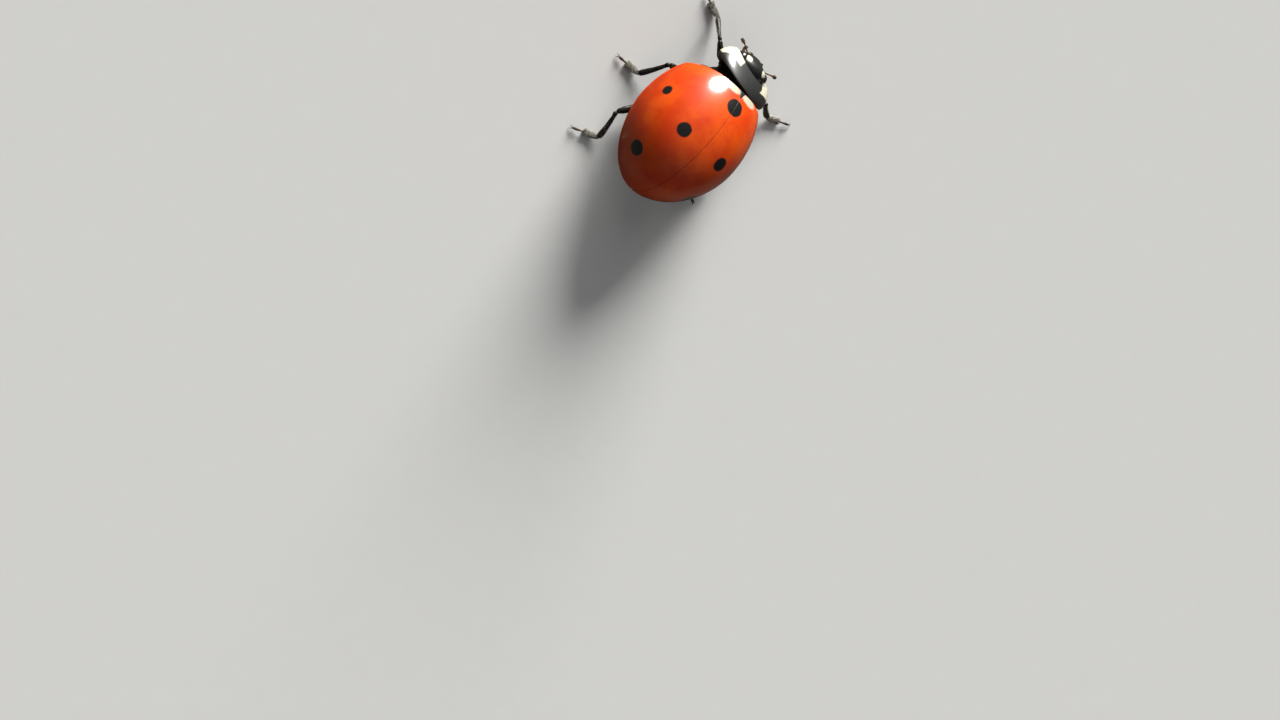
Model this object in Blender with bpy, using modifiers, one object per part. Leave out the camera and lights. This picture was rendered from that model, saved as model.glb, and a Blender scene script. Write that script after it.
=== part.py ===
"""A seven-spot ladybird (Coccinella septempunctata), life size, standing on six feet.

Metres, +Z up.  The head looks along -Y, the beetle's own left side is at +X and the feet stand on z = 0.
The shell is a dome given by a few functions of the distance along the body; the legs are bent by
their two lengths between a hip and an ankle.
"""

import math

import bmesh
import bpy
from mathutils import Matrix, Vector

MM = 0.001
GAP = 0.03 * MM                 # clear space between pieces that touch
NAME = "ladybird"

# ---- the dome of the wing cases -------------------------------------------------------------
BASE_Y = -2.33 * MM             # front edge of the wing cases on the midline
TAIL_Y = 3.99 * MM              # their tip
WIDEST_Y = 0.57 * MM
HALF_WIDTH = 2.78 * MM
FRONT_REACH = 3.66 * MM         # the plan closes this far in front of the widest place
REAR_POWER = 1.8
FRONT_POWER = 2.06
REAR_RISE_POWER = 2.09          # of the profile along the back
FRONT_RISE_POWER = 2.0
RIM_Z = 1.30 * MM               # lower edge of the wing cases
SHOULDER_LIFT = 0.22 * MM       # the edge rises this much at the shoulders
TAIL_DROP = 0.12 * MM
TOP_Z = 4.13 * MM
TOP_Y = 0.70 * MM
FRONT_DOME_REACH = 3.92 * MM    # the profile's ellipse closes this far in front of the top
SECTION_POWER = 2.18
SHOULDER_ROUND = 0.66 * MM      # the base edge runs back this much at the shoulders
SHOULDER_POWER = 3
SHELL_THICK = 0.50 * MM
DOME_ROWS = 17
DOME_COLUMNS = 20
LAST_ROW = 0.985                # the rows stop just short of the tip

SCUTELLUM_WIDTH = 0.40 * MM
SCUTELLUM_LENGTH = 0.34 * MM

# ---- the pronotum ---------------------------------------------------------------------------
PRONOTUM_REAR_Y = BASE_Y - 0.04 * MM
PRONOTUM_REAR_SWEEP = 0.13 * MM     # its hind corners stand this much in front of its middle
PRONOTUM_FRONT_Y = -3.20 * MM
PRONOTUM_CORNER_REACH = 0.28 * MM
PRONOTUM_HALF_WIDTH = 1.69 * MM
PRONOTUM_NARROWING = 0.72       # how far the sides close toward the front
PRONOTUM_NARROW_FROM = 0.2      # in parts of its length
PRONOTUM_FLARE = 0.04           # the hind corners are drawn in this much
PRONOTUM_FLARE_END = 0.25
PRONOTUM_REAR_Z = (1.74 * MM, 3.02 * MM)    # edge and crest
PRONOTUM_FRONT_Z = (1.62 * MM, 2.44 * MM)
PRONOTUM_SECTION_POWER = 2.2
PRONOTUM_THICK = 0.30 * MM

# The front of the body is turned a little to the beetle's right about a point beside the
# midline, so the joint opens on the left, and the head is turned half way back.
NECK_PIVOT = Vector((-0.6, -2.30, 0)) * MM
NECK_TURN = math.radians(-8)
HEAD_PIVOT = Vector((0, -2.2, 0)) * MM
HEAD_TURN = math.radians(4)

# ---- the underside --------------------------------------------------------------------------
LINING = 0.64 * MM              # body surface below the wing cases' outer face
BELLY_Z = 0.60 * MM
BELLY_RIM_Z = 1.22 * MM
BELLY_POWER = 1.2
THORAX_FRONT_Y = -2.23 * MM
WAIST_Y = 0.58 * MM             # where thorax and abdomen meet
PROSTERNUM_Y = (-3.05 * MM, -2.36 * MM)
PROSTERNUM_HALF_WIDTH = (0.80 * MM, 1.22 * MM)
PROSTERNUM_RIM_Z = (1.50 * MM, 1.62 * MM)
PROSTERNUM_TOP_Z = (1.90 * MM, 2.58 * MM)
PROSTERNUM_BELLY_Z = 0.86 * MM

# ---- the head -------------------------------------------------------------------------------
HEAD_CENTRE = Vector((0, -3.33, 1.72)) * MM
HEAD_RADII = Vector((0.81, 0.52, 0.62)) * MM
HEAD_REAR_Y = PROSTERNUM_Y[0] - GAP
EYE_CENTRE = Vector((0.70, -3.40, 1.78)) * MM
EYE_RADII = Vector((0.25, 0.29, 0.33)) * MM
FEELER_PATH = [Vector(p) * MM for p in
               ((0.54, -3.60, 1.66), (0.86, -3.80, 1.80), (1.12, -3.86, 1.74), (1.24, -3.98, 1.56))]
FEELER_RADII = (0.20 * MM, 0.21 * MM, 0.24 * MM, 0.25 * MM)
PALP_PATH = [Vector(p) * MM for p in ((0.46, -3.48, 1.10), (0.56, -3.74, 0.98), (0.52, -3.92, 0.98))]
PALP_RADII = (0.20 * MM, 0.23 * MM, 0.24 * MM)
MOUTH_CENTRE = Vector((0, -3.70, 1.22)) * MM
MOUTH_RADII = Vector((0.25, 0.27, 0.24)) * MM

# ---- the legs -------------------------------------------------------------------------------
THIGH_RADIUS = 0.25 * MM
KNEE_RADIUS = 0.20 * MM
SHIN_RADIUS = 0.235 * MM
FOOT_RADIUS = 0.24 * MM
ANKLE_Z = 0.27 * MM
TOE_Z = 0.18 * MM
LEG_SIDES = 10
SIDES = {"left": 1, "right": -1}

# Per pair: coxa centre and radii, hip point, lengths of thigh (femur) and shin (tibia).
PAIRS = {
    "fore": dict(coxa=(0.50, -2.56, 0.86), radii=(0.34, 0.27, 0.34),
                 hip=(0.70, -2.60, 0.66), thigh=1.42, shin=1.38),
    "mid": dict(coxa=(0.78, -1.08, 0.70), radii=(0.36, 0.31, 0.34),
                hip=(0.98, -1.10, 0.47), thigh=1.66, shin=1.50),
    "hind": dict(coxa=(0.95, 0.20, 0.70), radii=(0.68, 0.28, 0.33),
                 hip=(1.30, 0.38, 0.48), thigh=2.20, shin=1.48),
}
# Per leg: where the ankle and the toe stand, and which way the knee points.
STANCE = {
    ("fore", "left"): dict(ankle=(2.12, -4.20), toe=(3.05, -4.50), knee=(0.35, 0.06, 0.85)),
    ("mid", "left"): dict(ankle=(3.08, 0.06), toe=(4.20, 0.12), knee=(0.40, -0.70, 0.62)),
    ("hind", "left"): dict(ankle=(2.42, 3.33), toe=(3.56, 3.78), knee=(0.80, -0.05, 0.32)),
    ("fore", "right"): dict(ankle=(-2.93, -2.58), toe=(-3.98, -3.02), knee=(-0.05, -0.35, 0.95)),
    ("mid", "right"): dict(ankle=(-2.18, -0.22), toe=(-3.25, -0.05), knee=(-0.45, -0.95, 0.58)),
    ("hind", "right"): dict(ankle=(-2.10, 2.05), toe=(-3.10, 2.45), knee=(-0.90, -0.50, 0.12)),
}

# ---- colours: red-green-blue, roughness -----------------------------------------------------
RED = ((0.72, 0.10, 0.015), 0.22)
BLACK = ((0.012, 0.013, 0.012), 0.25)
DULL_BLACK = ((0.018, 0.017, 0.015), 0.45)
LEG_BLACK = ((0.022, 0.018, 0.014), 0.35)
FOOT_BROWN = ((0.16, 0.10, 0.05), 0.5)
FEELER_BROWN = ((0.12, 0.06, 0.025), 0.45)


def clear_scene():
    for obj in list(bpy.data.objects):
        bpy.data.objects.remove(obj)


def new_collection(name):
    collection = bpy.data.collections.new(name)
    bpy.context.scene.collection.children.link(collection)
    return collection


def material(name, colour, roughness):
    mat = bpy.data.materials.get(name) or bpy.data.materials.new(name)
    mat.use_nodes = True
    shader = mat.node_tree.nodes["Principled BSDF"]
    shader.inputs["Base Color"].default_value = (*colour, 1)
    shader.inputs["Roughness"].default_value = roughness
    shader.inputs["Metallic"].default_value = 0.0
    return mat


# ---- functions that give the shell its shape ------------------------------------------------

def closing(fraction, power):
    """One at 0, falling to zero at 1 along a superellipse."""
    return math.sqrt(max(0.0, 1.0 - min(abs(fraction), 1.0) ** power))


def half_width(y):
    if y > WIDEST_Y:
        return HALF_WIDTH * closing((y - WIDEST_Y) / (TAIL_Y - WIDEST_Y), REAR_POWER)
    return HALF_WIDTH * closing((WIDEST_Y - y) / FRONT_REACH, FRONT_POWER)


def rise(y):
    """Height of the dome's midline over its edge."""
    if y > TOP_Y:
        return (TOP_Z - RIM_Z) * closing((y - TOP_Y) / (TAIL_Y - TOP_Y), REAR_RISE_POWER)
    return (TOP_Z - RIM_Z) * closing((TOP_Y - y) / FRONT_DOME_REACH, FRONT_RISE_POWER)


def rim_height(y):
    shoulder = max(0.0, (-0.4 * MM - y) / (-0.4 * MM - BASE_Y))
    tail = max(0.0, (y - 1.5 * MM) / (TAIL_Y - 1.5 * MM))
    return RIM_Z + SHOULDER_LIFT * shoulder ** 2 - TAIL_DROP * tail ** 2


def dome_point(along, across):
    """Outer face of the wing cases: along 0..1 from base to tip, across -1..1 over the back."""
    base = BASE_Y + SHOULDER_ROUND * abs(across) ** SHOULDER_POWER
    y = base + (TAIL_Y - base) * math.sin(along * LAST_ROW * math.pi / 2)
    u = math.sin(across * math.pi / 2)
    rim = rim_height(y)
    crest = RIM_Z + rise(y)
    return Vector((half_width(y) * u, y, rim + (crest - rim) * closing(u, SECTION_POWER)))


def pronotum_point(forward, across):
    """Outer face of the pronotum: forward 0..1 from hind to front margin, across -1..1."""
    u = math.sin(across * math.pi / 2)
    rear = PRONOTUM_REAR_Y - PRONOTUM_REAR_SWEEP * u ** 2
    front = PRONOTUM_FRONT_Y - PRONOTUM_CORNER_REACH * abs(u) ** 2.5
    y = rear + (front - rear) * forward
    taper = max(0.0, forward - PRONOTUM_NARROW_FROM) / (1 - PRONOTUM_NARROW_FROM) * PRONOTUM_NARROWING
    flare = PRONOTUM_FLARE * (1 - min(forward / PRONOTUM_FLARE_END, 1)) ** 2
    x = PRONOTUM_HALF_WIDTH * (math.sqrt(1 - taper ** 2) - flare) * u
    edge = PRONOTUM_REAR_Z[0] + (PRONOTUM_FRONT_Z[0] - PRONOTUM_REAR_Z[0]) * forward
    crest = PRONOTUM_REAR_Z[1] + (PRONOTUM_FRONT_Z[1] - PRONOTUM_REAR_Z[1]) * forward ** 1.25
    return Vector((x, y, edge + (crest - edge) * closing(u, PRONOTUM_SECTION_POWER)))


def torso_point(y, angle, half, top, rim, belly):
    """A cross-section of the body: a dome above the rim, a keel below it."""
    u = math.cos(angle)
    if math.sin(angle) >= 0:
        return Vector((half * u, y, rim + (top - rim) * closing(u, SECTION_POWER)))
    return Vector((half * u, y, belly + (rim - belly) * abs(u) ** BELLY_POWER))


def turned_about(pivot, angle):
    return Matrix.Translation(pivot) @ Matrix.Rotation(angle, 4, "Z") @ Matrix.Translation(-pivot)


NECK = turned_about(NECK_PIVOT, NECK_TURN)
HEAD = turned_about(HEAD_PIVOT, HEAD_TURN)


# ---- making meshes and objects --------------------------------------------------------------

class Model:
    """Holds the collections and the empty that carries every piece."""

    def __init__(self):
        self.pieces = new_collection(NAME)
        self.cutters = new_collection(NAME + "_cutters")
        self.root = self.carrier("_root", Matrix.Identity(4), None)
        self.neck = self.carrier("_neck", NECK, self.root)
        self.head = self.carrier("_head", HEAD, self.neck)

    def carrier(self, name, matrix, parent):
        empty = bpy.data.objects.new(NAME + name, None)
        empty.matrix_basis = matrix
        empty.parent = parent
        self.pieces.objects.link(empty)
        return empty

    def add(self, name, bm, look, matrix=None, carrier=None):
        mesh = bpy.data.meshes.new(name)
        bmesh.ops.recalc_face_normals(bm, faces=bm.faces)
        bm.to_mesh(mesh)
        bm.free()
        mesh.shade_smooth()
        mesh.set_sharp_from_angle(angle=math.radians(40))
        obj = bpy.data.objects.new(name, mesh)
        obj.data.materials.append(material(name, *look))
        if matrix:
            obj.location = matrix.to_translation()
            obj.rotation_euler = matrix.to_euler()
        obj.parent = carrier or self.root
        self.pieces.objects.link(obj)
        return obj

    def cutter(self, name, bm, matrix=None, carrier=None):
        obj = self.add(name, bm, BLACK, matrix, carrier)
        self.pieces.objects.unlink(obj)
        self.cutters.objects.link(obj)
        obj.hide_render = True
        obj.display_type = "WIRE"
        return obj

    def cut(self, obj, cutter):
        boolean = obj.modifiers.new("cut " + cutter.name, "BOOLEAN")
        boolean.operation = "DIFFERENCE"
        boolean.solver = "EXACT"
        boolean.object = cutter


def shaped_grid(rows, columns, point):
    """A grid primitive moved onto point(v, u), v in 0..1 and u in -1..1."""
    bm = bmesh.new()
    bmesh.ops.create_grid(bm, x_segments=columns, y_segments=rows, size=1)
    for vert in bm.verts:
        vert.co = point((vert.co.y + 1) / 2, vert.co.x)
    return bm


def thicken(bm, thickness):
    """Solidify an open face inward and return the closed shell."""
    mesh = bpy.data.meshes.new("open face")
    bmesh.ops.recalc_face_normals(bm, faces=bm.faces)
    if sum(face.normal.z for face in bm.faces) < 0:
        bmesh.ops.reverse_faces(bm, faces=bm.faces)
    bm.to_mesh(mesh)
    bm.free()
    obj = bpy.data.objects.new("open face", mesh)
    bpy.context.scene.collection.objects.link(obj)
    solidify = obj.modifiers.new("thickness", "SOLIDIFY")
    solidify.thickness = thickness
    solidify.offset = -1
    closed = bmesh.new()
    closed.from_object(obj, bpy.context.evaluated_depsgraph_get())
    bpy.data.objects.remove(obj)
    return closed


def trim(bm, point, normal):
    """Cut off what lies beyond a plane and close the cut."""
    cut = bmesh.ops.bisect_plane(bm, geom=bm.verts[:] + bm.edges[:] + bm.faces[:], dist=GAP / 100,
                                 plane_co=point, plane_no=normal, clear_outer=True)
    edges = [item for item in cut["geom_cut"] if isinstance(item, bmesh.types.BMEdge)]
    bmesh.ops.contextual_create(bm, geom=edges)
    return bm


def ball(radii, across=16, up=12):
    """An ellipsoid about the origin."""
    bm = bmesh.new()
    bmesh.ops.create_uvsphere(bm, u_segments=across, v_segments=up, radius=1)
    bmesh.ops.scale(bm, vec=radii, verts=bm.verts)
    return bm


def capsule(length, radius_at, sides=LEG_SIDES, rings=8):
    """A round-ended rod along +Z whose end balls are centred at 0 and length."""
    bm = bmesh.new()
    bmesh.ops.create_uvsphere(bm, u_segments=sides, v_segments=rings, radius=1)
    first, last = radius_at(0), radius_at(1)
    reach = length + first + last
    for vert in bm.verts:
        flat = Vector((vert.co.x, vert.co.y, 0))
        level = math.acos(max(-1.0, min(1.0, -vert.co.z))) / math.pi
        z = -first + reach * (1 - math.cos(level * math.pi)) / 2
        if z < 0:
            radius = first * closing(z / first, 2)
        elif z > length:
            radius = last * closing((z - length) / last, 2)
        else:
            radius = radius_at(z / length)
        direction = flat.normalized() if flat.length > 1e-6 else Vector((0, 0, 0))
        vert.co = direction * radius + Vector((0, 0, z))
    return bm


def spindle(start, middle, end):
    """Radius along a limb: start and end values with a swelling between them."""
    def radius_at(t):
        straight = start + (end - start) * t
        return straight + (middle - (start + end) / 2) * math.sin(math.pi * t)
    return radius_at


def along(start, end):
    """The matrix that lays local +Z from start toward end."""
    turn = (end - start).to_track_quat("Z", "Y").to_matrix().to_4x4()
    return Matrix.Translation(start) @ turn


def trim_local(bm, matrix, point, normal):
    """Trim with a plane given in the body's frame."""
    inverse = matrix.inverted()
    return trim(bm, inverse @ point, inverse.to_3x3() @ normal)


# ---- shell plates ---------------------------------------------------------------------------

def add_wing_cases(model, scutellum_cutter):
    """One dome parted down the back by a thin cut."""
    dome = thicken(shaped_grid(DOME_ROWS, DOME_COLUMNS, dome_point), SHELL_THICK)
    for side, sign in SIDES.items():
        half = trim(dome.copy(), Vector((sign * GAP / 2, 0, 0)), Vector((-sign, 0, 0)))
        obj = model.add("elytron_" + side, half, RED)
        model.cut(obj, scutellum_cutter)
    dome.free()


def scutellum_mesh(grow):
    """The small triangle between the wing cases, pointing back."""
    bm = bmesh.new()
    bmesh.ops.create_cone(bm, cap_ends=True, segments=3, radius1=1, radius2=1, depth=1)
    top = dome_point(0, 0).z - 0.04 * MM
    for vert in bm.verts:
        tip = vert.co.y > 0.9
        side = 0 if tip else math.copysign(SCUTELLUM_WIDTH / 2 + 2.4 * grow, vert.co.x)
        y = BASE_Y + SCUTELLUM_LENGTH + 3 * grow if tip else BASE_Y - 12 * grow
        depth = 0.30 * MM if vert.co.z < 0 else -12 * grow
        lift = rise(BASE_Y + SCUTELLUM_LENGTH) - rise(BASE_Y) if tip else 0
        vert.co = Vector((side, y, top + lift - depth))
    return bm


def add_scutellum(model):
    model.add("scutellum", scutellum_mesh(0), BLACK)
    return model.cutter("scutellum_cutter", scutellum_mesh(GAP))


def add_pronotum(model):
    plate = thicken(shaped_grid(9, 20, pronotum_point), PRONOTUM_THICK)
    model.add("pronotum", plate, BLACK, carrier=model.neck)


# ---- body below the shell -------------------------------------------------------------------

def torso(section, front, rear, rings=14, around=20):
    """A closed body whose cross-sections run from front to rear."""
    bm = bmesh.new()
    bmesh.ops.create_uvsphere(bm, u_segments=around, v_segments=rings, radius=1)
    for vert in bm.verts:
        angle = math.atan2(vert.co.y, vert.co.x)
        level = max(-1.0, min(1.0, vert.co.z))
        y = (front + rear) / 2 + level * (rear - front) / 2
        centre = (section(y, math.pi / 2) + section(y, -math.pi / 2)) / 2
        pole = abs(level) > 0.999
        vert.co = centre if pole else section(y, angle)
    return bm


def lining_section(y, angle):
    """The body under the wing cases."""
    inner_tail = TAIL_Y - LINING
    fit = closing(max(0.0, y - WIDEST_Y) / (inner_tail - WIDEST_Y), REAR_POWER)
    half = (half_width(y) - LINING) if y < WIDEST_Y else (HALF_WIDTH - LINING) * fit
    top = RIM_Z + rise(y) - LINING if y < TOP_Y else BELLY_RIM_Z + (TOP_Z - LINING - BELLY_RIM_Z) * fit
    belly = BELLY_RIM_Z - (BELLY_RIM_Z - BELLY_Z) * fit
    return torso_point(y, angle, half, top, BELLY_RIM_Z, belly)


def prosternum_section(y, angle):
    """The body under the pronotum."""
    front, rear = PROSTERNUM_Y
    t = (y - front) / (rear - front)
    half = PROSTERNUM_HALF_WIDTH[0] + (PROSTERNUM_HALF_WIDTH[1] - PROSTERNUM_HALF_WIDTH[0]) * t
    rim = PROSTERNUM_RIM_Z[0] + (PROSTERNUM_RIM_Z[1] - PROSTERNUM_RIM_Z[0]) * t
    top = PROSTERNUM_TOP_Z[0] + (PROSTERNUM_TOP_Z[1] - PROSTERNUM_TOP_Z[0]) * t
    return torso_point(y, angle, half, top, rim, PROSTERNUM_BELLY_Z)


def slab(section, front, rear, rings):
    """Part of a long body between two planes across it."""
    body = torso(section, front - 0.3 * MM, rear + 0.3 * MM, rings)
    trim(body, Vector((0, front, 0)), Vector((0, -1, 0)))
    return trim(body, Vector((0, rear, 0)), Vector((0, 1, 0)))


def add_torso(model):
    front = slab(prosternum_section, *PROSTERNUM_Y, 8)
    prosternum = model.add("prosternum", front, DULL_BLACK, carrier=model.neck)
    thorax = slab(lining_section, THORAX_FRONT_Y, WAIST_Y, 10)
    thorax = model.add("thorax", thorax, DULL_BLACK)
    abdomen = torso(lining_section, -1.0 * MM, TAIL_Y - LINING, 22)
    model.add("abdomen", trim(abdomen, Vector((0, WAIST_Y + GAP, 0)), Vector((0, -1, 0))), DULL_BLACK)
    return {"fore": prosternum, "mid": thorax, "hind": thorax}


# ---- head -----------------------------------------------------------------------------------

def add_head(model):
    """The head with its rear cut square, sockets for the eyes and room for the pronotum."""
    centred = Matrix.Translation(HEAD_CENTRE)
    skull = ball(HEAD_RADII, 20, 14)
    trim_local(skull, HEAD @ centred, Vector((0, HEAD_REAR_Y, 0)), Vector((0, 1, 0)))
    head = model.add("head", skull, BLACK, centred, model.head)
    roof = thicken(shaped_grid(9, 20, lambda v, u: pronotum_point(v * 1.04, u) + Vector((0, 0, GAP))),
                   PRONOTUM_THICK + 2 * GAP)
    model.cut(head, model.cutter("roof_cutter", roof, carrier=model.neck))
    grown = ball(HEAD_RADII + Vector((GAP, GAP, GAP)), 24, 16)
    skull_cutter = model.cutter("skull_cutter", grown, centred, model.head)
    for side, sign in SIDES.items():
        place = Matrix.Translation(Vector((sign * EYE_CENTRE.x, EYE_CENTRE.y, EYE_CENTRE.z)))
        model.add("eye_" + side, ball(EYE_RADII, 14, 10), BLACK, place, model.head)
        socket = ball(EYE_RADII + Vector((GAP, GAP, GAP)), 14, 10)
        model.cut(head, model.cutter("socket_" + side, socket, place, model.head))
        for name, path, radii in (("antenna_", FEELER_PATH, FEELER_RADII), ("palp_", PALP_PATH, PALP_RADII)):
            rod = bent_rod(mirrored(path, sign), radii)
            feeler = model.add(name + side, rod, FEELER_BROWN, carrier=model.head)
            model.cut(feeler, skull_cutter)
    mouth_at = Matrix.Translation(MOUTH_CENTRE)
    mouth = model.add("mouthparts", ball(MOUTH_RADII, 12, 8), DULL_BLACK, mouth_at, model.head)
    model.cut(mouth, skull_cutter)


def mirrored(path, sign):
    return [Vector((sign * p.x, p.y, p.z)) for p in path]


def smooth_path(points, t):
    """A Bezier curve through control points, by de Casteljau's rule."""
    while len(points) > 1:
        points = [a.lerp(b, t) for a, b in zip(points, points[1:])]
    return points[0]


def bent_rod(path, radii, sides=10, rings=12):
    """A round-ended rod whose middle line is a Bezier curve."""
    length = sum((b - a).length for a, b in zip(path, path[1:]))

    def radius_at(t):
        place = t * (len(radii) - 1)
        index = min(int(place), len(radii) - 2)
        return radii[index] + (radii[index + 1] - radii[index]) * (place - index)

    bm = capsule(length, radius_at, sides, rings)
    for vert in bm.verts:
        t = vert.co.z / length
        near = max(0.0, min(1.0, t))
        here = smooth_path(path, near)
        ahead = smooth_path(path, min(1.0, near + 0.02)) - smooth_path(path, max(0.0, near - 0.02))
        turn = ahead.to_track_quat("Z", "Y")
        vert.co = here + turn @ Vector((vert.co.x, vert.co.y, (t - near) * length))
    return bm


# ---- legs -----------------------------------------------------------------------------------

def knee_point(hip, ankle, thigh, shin, pole):
    """Where the two lengths meet, on the side the pole points to."""
    reach = ankle - hip
    axis = reach.normalized()
    foot = (thigh ** 2 - shin ** 2 + reach.length_squared) / (2 * reach.length)
    side = pole - axis * pole.dot(axis)
    return hip + axis * foot + side.normalized() * math.sqrt(thigh ** 2 - foot ** 2)


def limb(start, end, radius):
    """A rod that swells between its two joints, and the matrix that places it."""
    return capsule((end - start).length, spindle(KNEE_RADIUS, radius, KNEE_RADIUS)), along(start, end)


def add_joint_cut(first, second, joint, before, after):
    """Part two rods that share an end ball along the plane that halves their bend."""
    normal = (before + after).normalized()
    trim_local(first[0], first[1], joint - normal * GAP / 2, normal)
    trim_local(second[0], second[1], joint + normal * GAP / 2, -normal)


def add_leg(model, pair, side, body):
    sign = SIDES[side]
    shape, stance = PAIRS[pair], STANCE[pair, side]
    name = f"{pair}_{side}"
    turn = NECK if pair == "fore" else Matrix.Identity(4)
    coxa_at = turn @ Matrix.Translation(Vector((sign * shape["coxa"][0], *shape["coxa"][1:])) * MM)
    radii = Vector(shape["radii"]) * MM
    hip = turn @ (Vector((sign * shape["hip"][0], *shape["hip"][1:])) * MM)
    ankle = Vector((*stance["ankle"], ANKLE_Z / MM)) * MM
    toe = Vector((*stance["toe"], TOE_Z / MM)) * MM
    knee = knee_point(hip, ankle, shape["thigh"] * MM, shape["shin"] * MM, Vector(stance["knee"]))

    coxa = (ball(radii, 12, 8), coxa_at)
    thigh = limb(hip, knee, THIGH_RADIUS)
    shin = limb(knee, ankle, SHIN_RADIUS)
    foot = limb(ankle, toe, FOOT_RADIUS)

    to_knee = (knee - hip).normalized()
    to_ankle = (ankle - knee).normalized()
    to_toe = (toe - ankle).normalized()
    add_joint_cut(coxa, thigh, hip, to_knee, to_knee)
    add_joint_cut(thigh, shin, knee, to_knee, to_ankle)
    add_joint_cut(shin, foot, ankle, to_ankle, to_toe)
    trim_local(foot[0], foot[1], Vector((0, 0, 0)), Vector((0, 0, -1)))

    model.add(name + "_coxa", coxa[0], LEG_BLACK, coxa[1])
    model.add(name + "_femur", thigh[0], LEG_BLACK, thigh[1])
    model.add(name + "_tibia", shin[0], LEG_BLACK, shin[1])
    model.add(name + "_tarsus", foot[0], FOOT_BROWN, foot[1])
    socket = ball(radii + Vector((GAP, GAP, GAP)), 12, 8)
    model.cut(body, model.cutter(name + "_socket", socket, coxa_at))


# ---- the whole ------------------------------------------------------------------------------

def stand_on_origin(model):
    """Move the carrier so the origin is below the middle of the model, at the level of its soles."""
    bpy.context.view_layer.update()
    depsgraph = bpy.context.evaluated_depsgraph_get()
    points = []
    for obj in model.pieces.objects:
        if obj.type == "MESH":
            solid = obj.evaluated_get(depsgraph)
            points += [solid.matrix_world @ vert.co for vert in solid.data.vertices]
    low = Vector([min(p[axis] for p in points) for axis in range(3)])
    high = Vector([max(p[axis] for p in points) for axis in range(3)])
    model.root.location = (-(low.x + high.x) / 2, -(low.y + high.y) / 2, -low.z)


def main():
    clear_scene()
    model = Model()
    scutellum_cutter = add_scutellum(model)
    add_wing_cases(model, scutellum_cutter)
    add_pronotum(model)
    bodies = add_torso(model)
    add_head(model)
    for pair, side in STANCE:
        add_leg(model, pair, side, bodies[pair])
    stand_on_origin(model)


main()
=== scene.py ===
"""A life-size seven-spot ladybird on a pale floor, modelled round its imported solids."""

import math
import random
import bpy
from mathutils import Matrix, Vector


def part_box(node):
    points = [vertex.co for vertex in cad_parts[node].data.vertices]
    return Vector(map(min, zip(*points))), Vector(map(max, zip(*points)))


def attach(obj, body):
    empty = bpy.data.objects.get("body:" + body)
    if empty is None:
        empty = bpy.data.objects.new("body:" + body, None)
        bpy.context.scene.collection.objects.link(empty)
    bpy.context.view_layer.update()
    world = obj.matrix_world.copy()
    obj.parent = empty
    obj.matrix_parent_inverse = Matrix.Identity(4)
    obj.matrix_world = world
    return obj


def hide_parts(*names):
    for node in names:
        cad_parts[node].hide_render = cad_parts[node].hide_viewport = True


bl_info = {
    "name": "Seven-Spot Ladybird",
    "version": (1, 0, 0),
    "blender": (4, 5, 0),
    "location": "3D View > Sidebar > Ladybird",
    "description": "Builds a life-size seven-spot ladybird with its shell, legs, feelers and hairs",
    "category": "Add Mesh",
}

import bmesh
import bpy
from mathutils import Matrix, Vector

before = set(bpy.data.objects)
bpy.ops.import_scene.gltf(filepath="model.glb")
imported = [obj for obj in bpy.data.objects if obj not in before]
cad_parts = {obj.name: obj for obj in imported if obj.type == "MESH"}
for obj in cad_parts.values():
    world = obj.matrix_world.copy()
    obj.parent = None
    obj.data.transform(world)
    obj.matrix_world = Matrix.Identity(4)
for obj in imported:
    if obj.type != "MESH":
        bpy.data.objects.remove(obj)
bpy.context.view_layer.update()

MM = 0.001
SIDES = {"left": 1, "right": -1}

# The body's own frame is in millimetres: x from the midline, y along the body, z above the floor.
CASE_LOW, CASE_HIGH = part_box("elytron_left")
TAIL_Y = 3.99
MIDLINE = (CASE_LOW.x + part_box("elytron_right")[1].x) / 2
BODY = Vector((MIDLINE, CASE_HIGH.y - TAIL_Y * MM, 0))


def turned_about(pivot, degrees):
    pivot = Vector(pivot)
    turn = Matrix.Rotation(math.radians(degrees), 4, "Z")
    return Matrix.Translation(pivot) @ turn @ Matrix.Translation(-pivot)


# The front of the body is turned a little to the beetle's right, and the head half way back.
NECK = turned_about((-0.6, -2.30, 0), -8)
HEAD = NECK @ turned_about((0, -2.2, 0), 4)

# The legs as the solids have them: middle and half sizes of the hip joint, where the thigh starts, all
# for the left side, and the lengths of thigh and shin.
PAIRS = {
    "fore": dict(coxa=(0.50, -2.56, 0.86), radii=(0.34, 0.27, 0.34),
                 hip=(0.70, -2.60, 0.66), thigh=1.42, shin=1.38),
    "mid": dict(coxa=(0.78, -1.08, 0.70), radii=(0.36, 0.31, 0.34),
                hip=(0.98, -1.10, 0.47), thigh=1.66, shin=1.50),
    "hind": dict(coxa=(0.95, 0.20, 0.70), radii=(0.68, 0.28, 0.33),
                 hip=(1.30, 0.38, 0.48), thigh=2.20, shin=1.48),
}
# Where each leg stands in plan, and the way its knee points.
STANCE = {
    ("fore", "left"): dict(ankle=(2.12, -4.20), toe=(3.05, -4.50), knee=(0.35, 0.06, 0.85)),
    ("mid", "left"): dict(ankle=(3.08, 0.06), toe=(4.20, 0.12), knee=(0.40, -0.70, 0.62)),
    ("hind", "left"): dict(ankle=(2.42, 3.33), toe=(3.56, 3.78), knee=(0.80, -0.05, 0.32)),
    ("fore", "right"): dict(ankle=(-2.93, -2.58), toe=(-3.98, -3.02), knee=(-0.05, -0.35, 0.95)),
    ("mid", "right"): dict(ankle=(-2.18, -0.22), toe=(-3.25, -0.05), knee=(-0.45, -0.95, 0.58)),
    ("hind", "right"): dict(ankle=(-2.10, 2.05), toe=(-3.10, 2.45), knee=(-0.90, -0.50, 0.12)),
}
ANKLE_Z = 0.25
SHARP = math.radians(60)        # edges that turn more than this look crisp


# ---- settings ----

def number(name, description, default, **more):
    return bpy.props.FloatProperty(name=name, description=description, default=default, **more)


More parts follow.
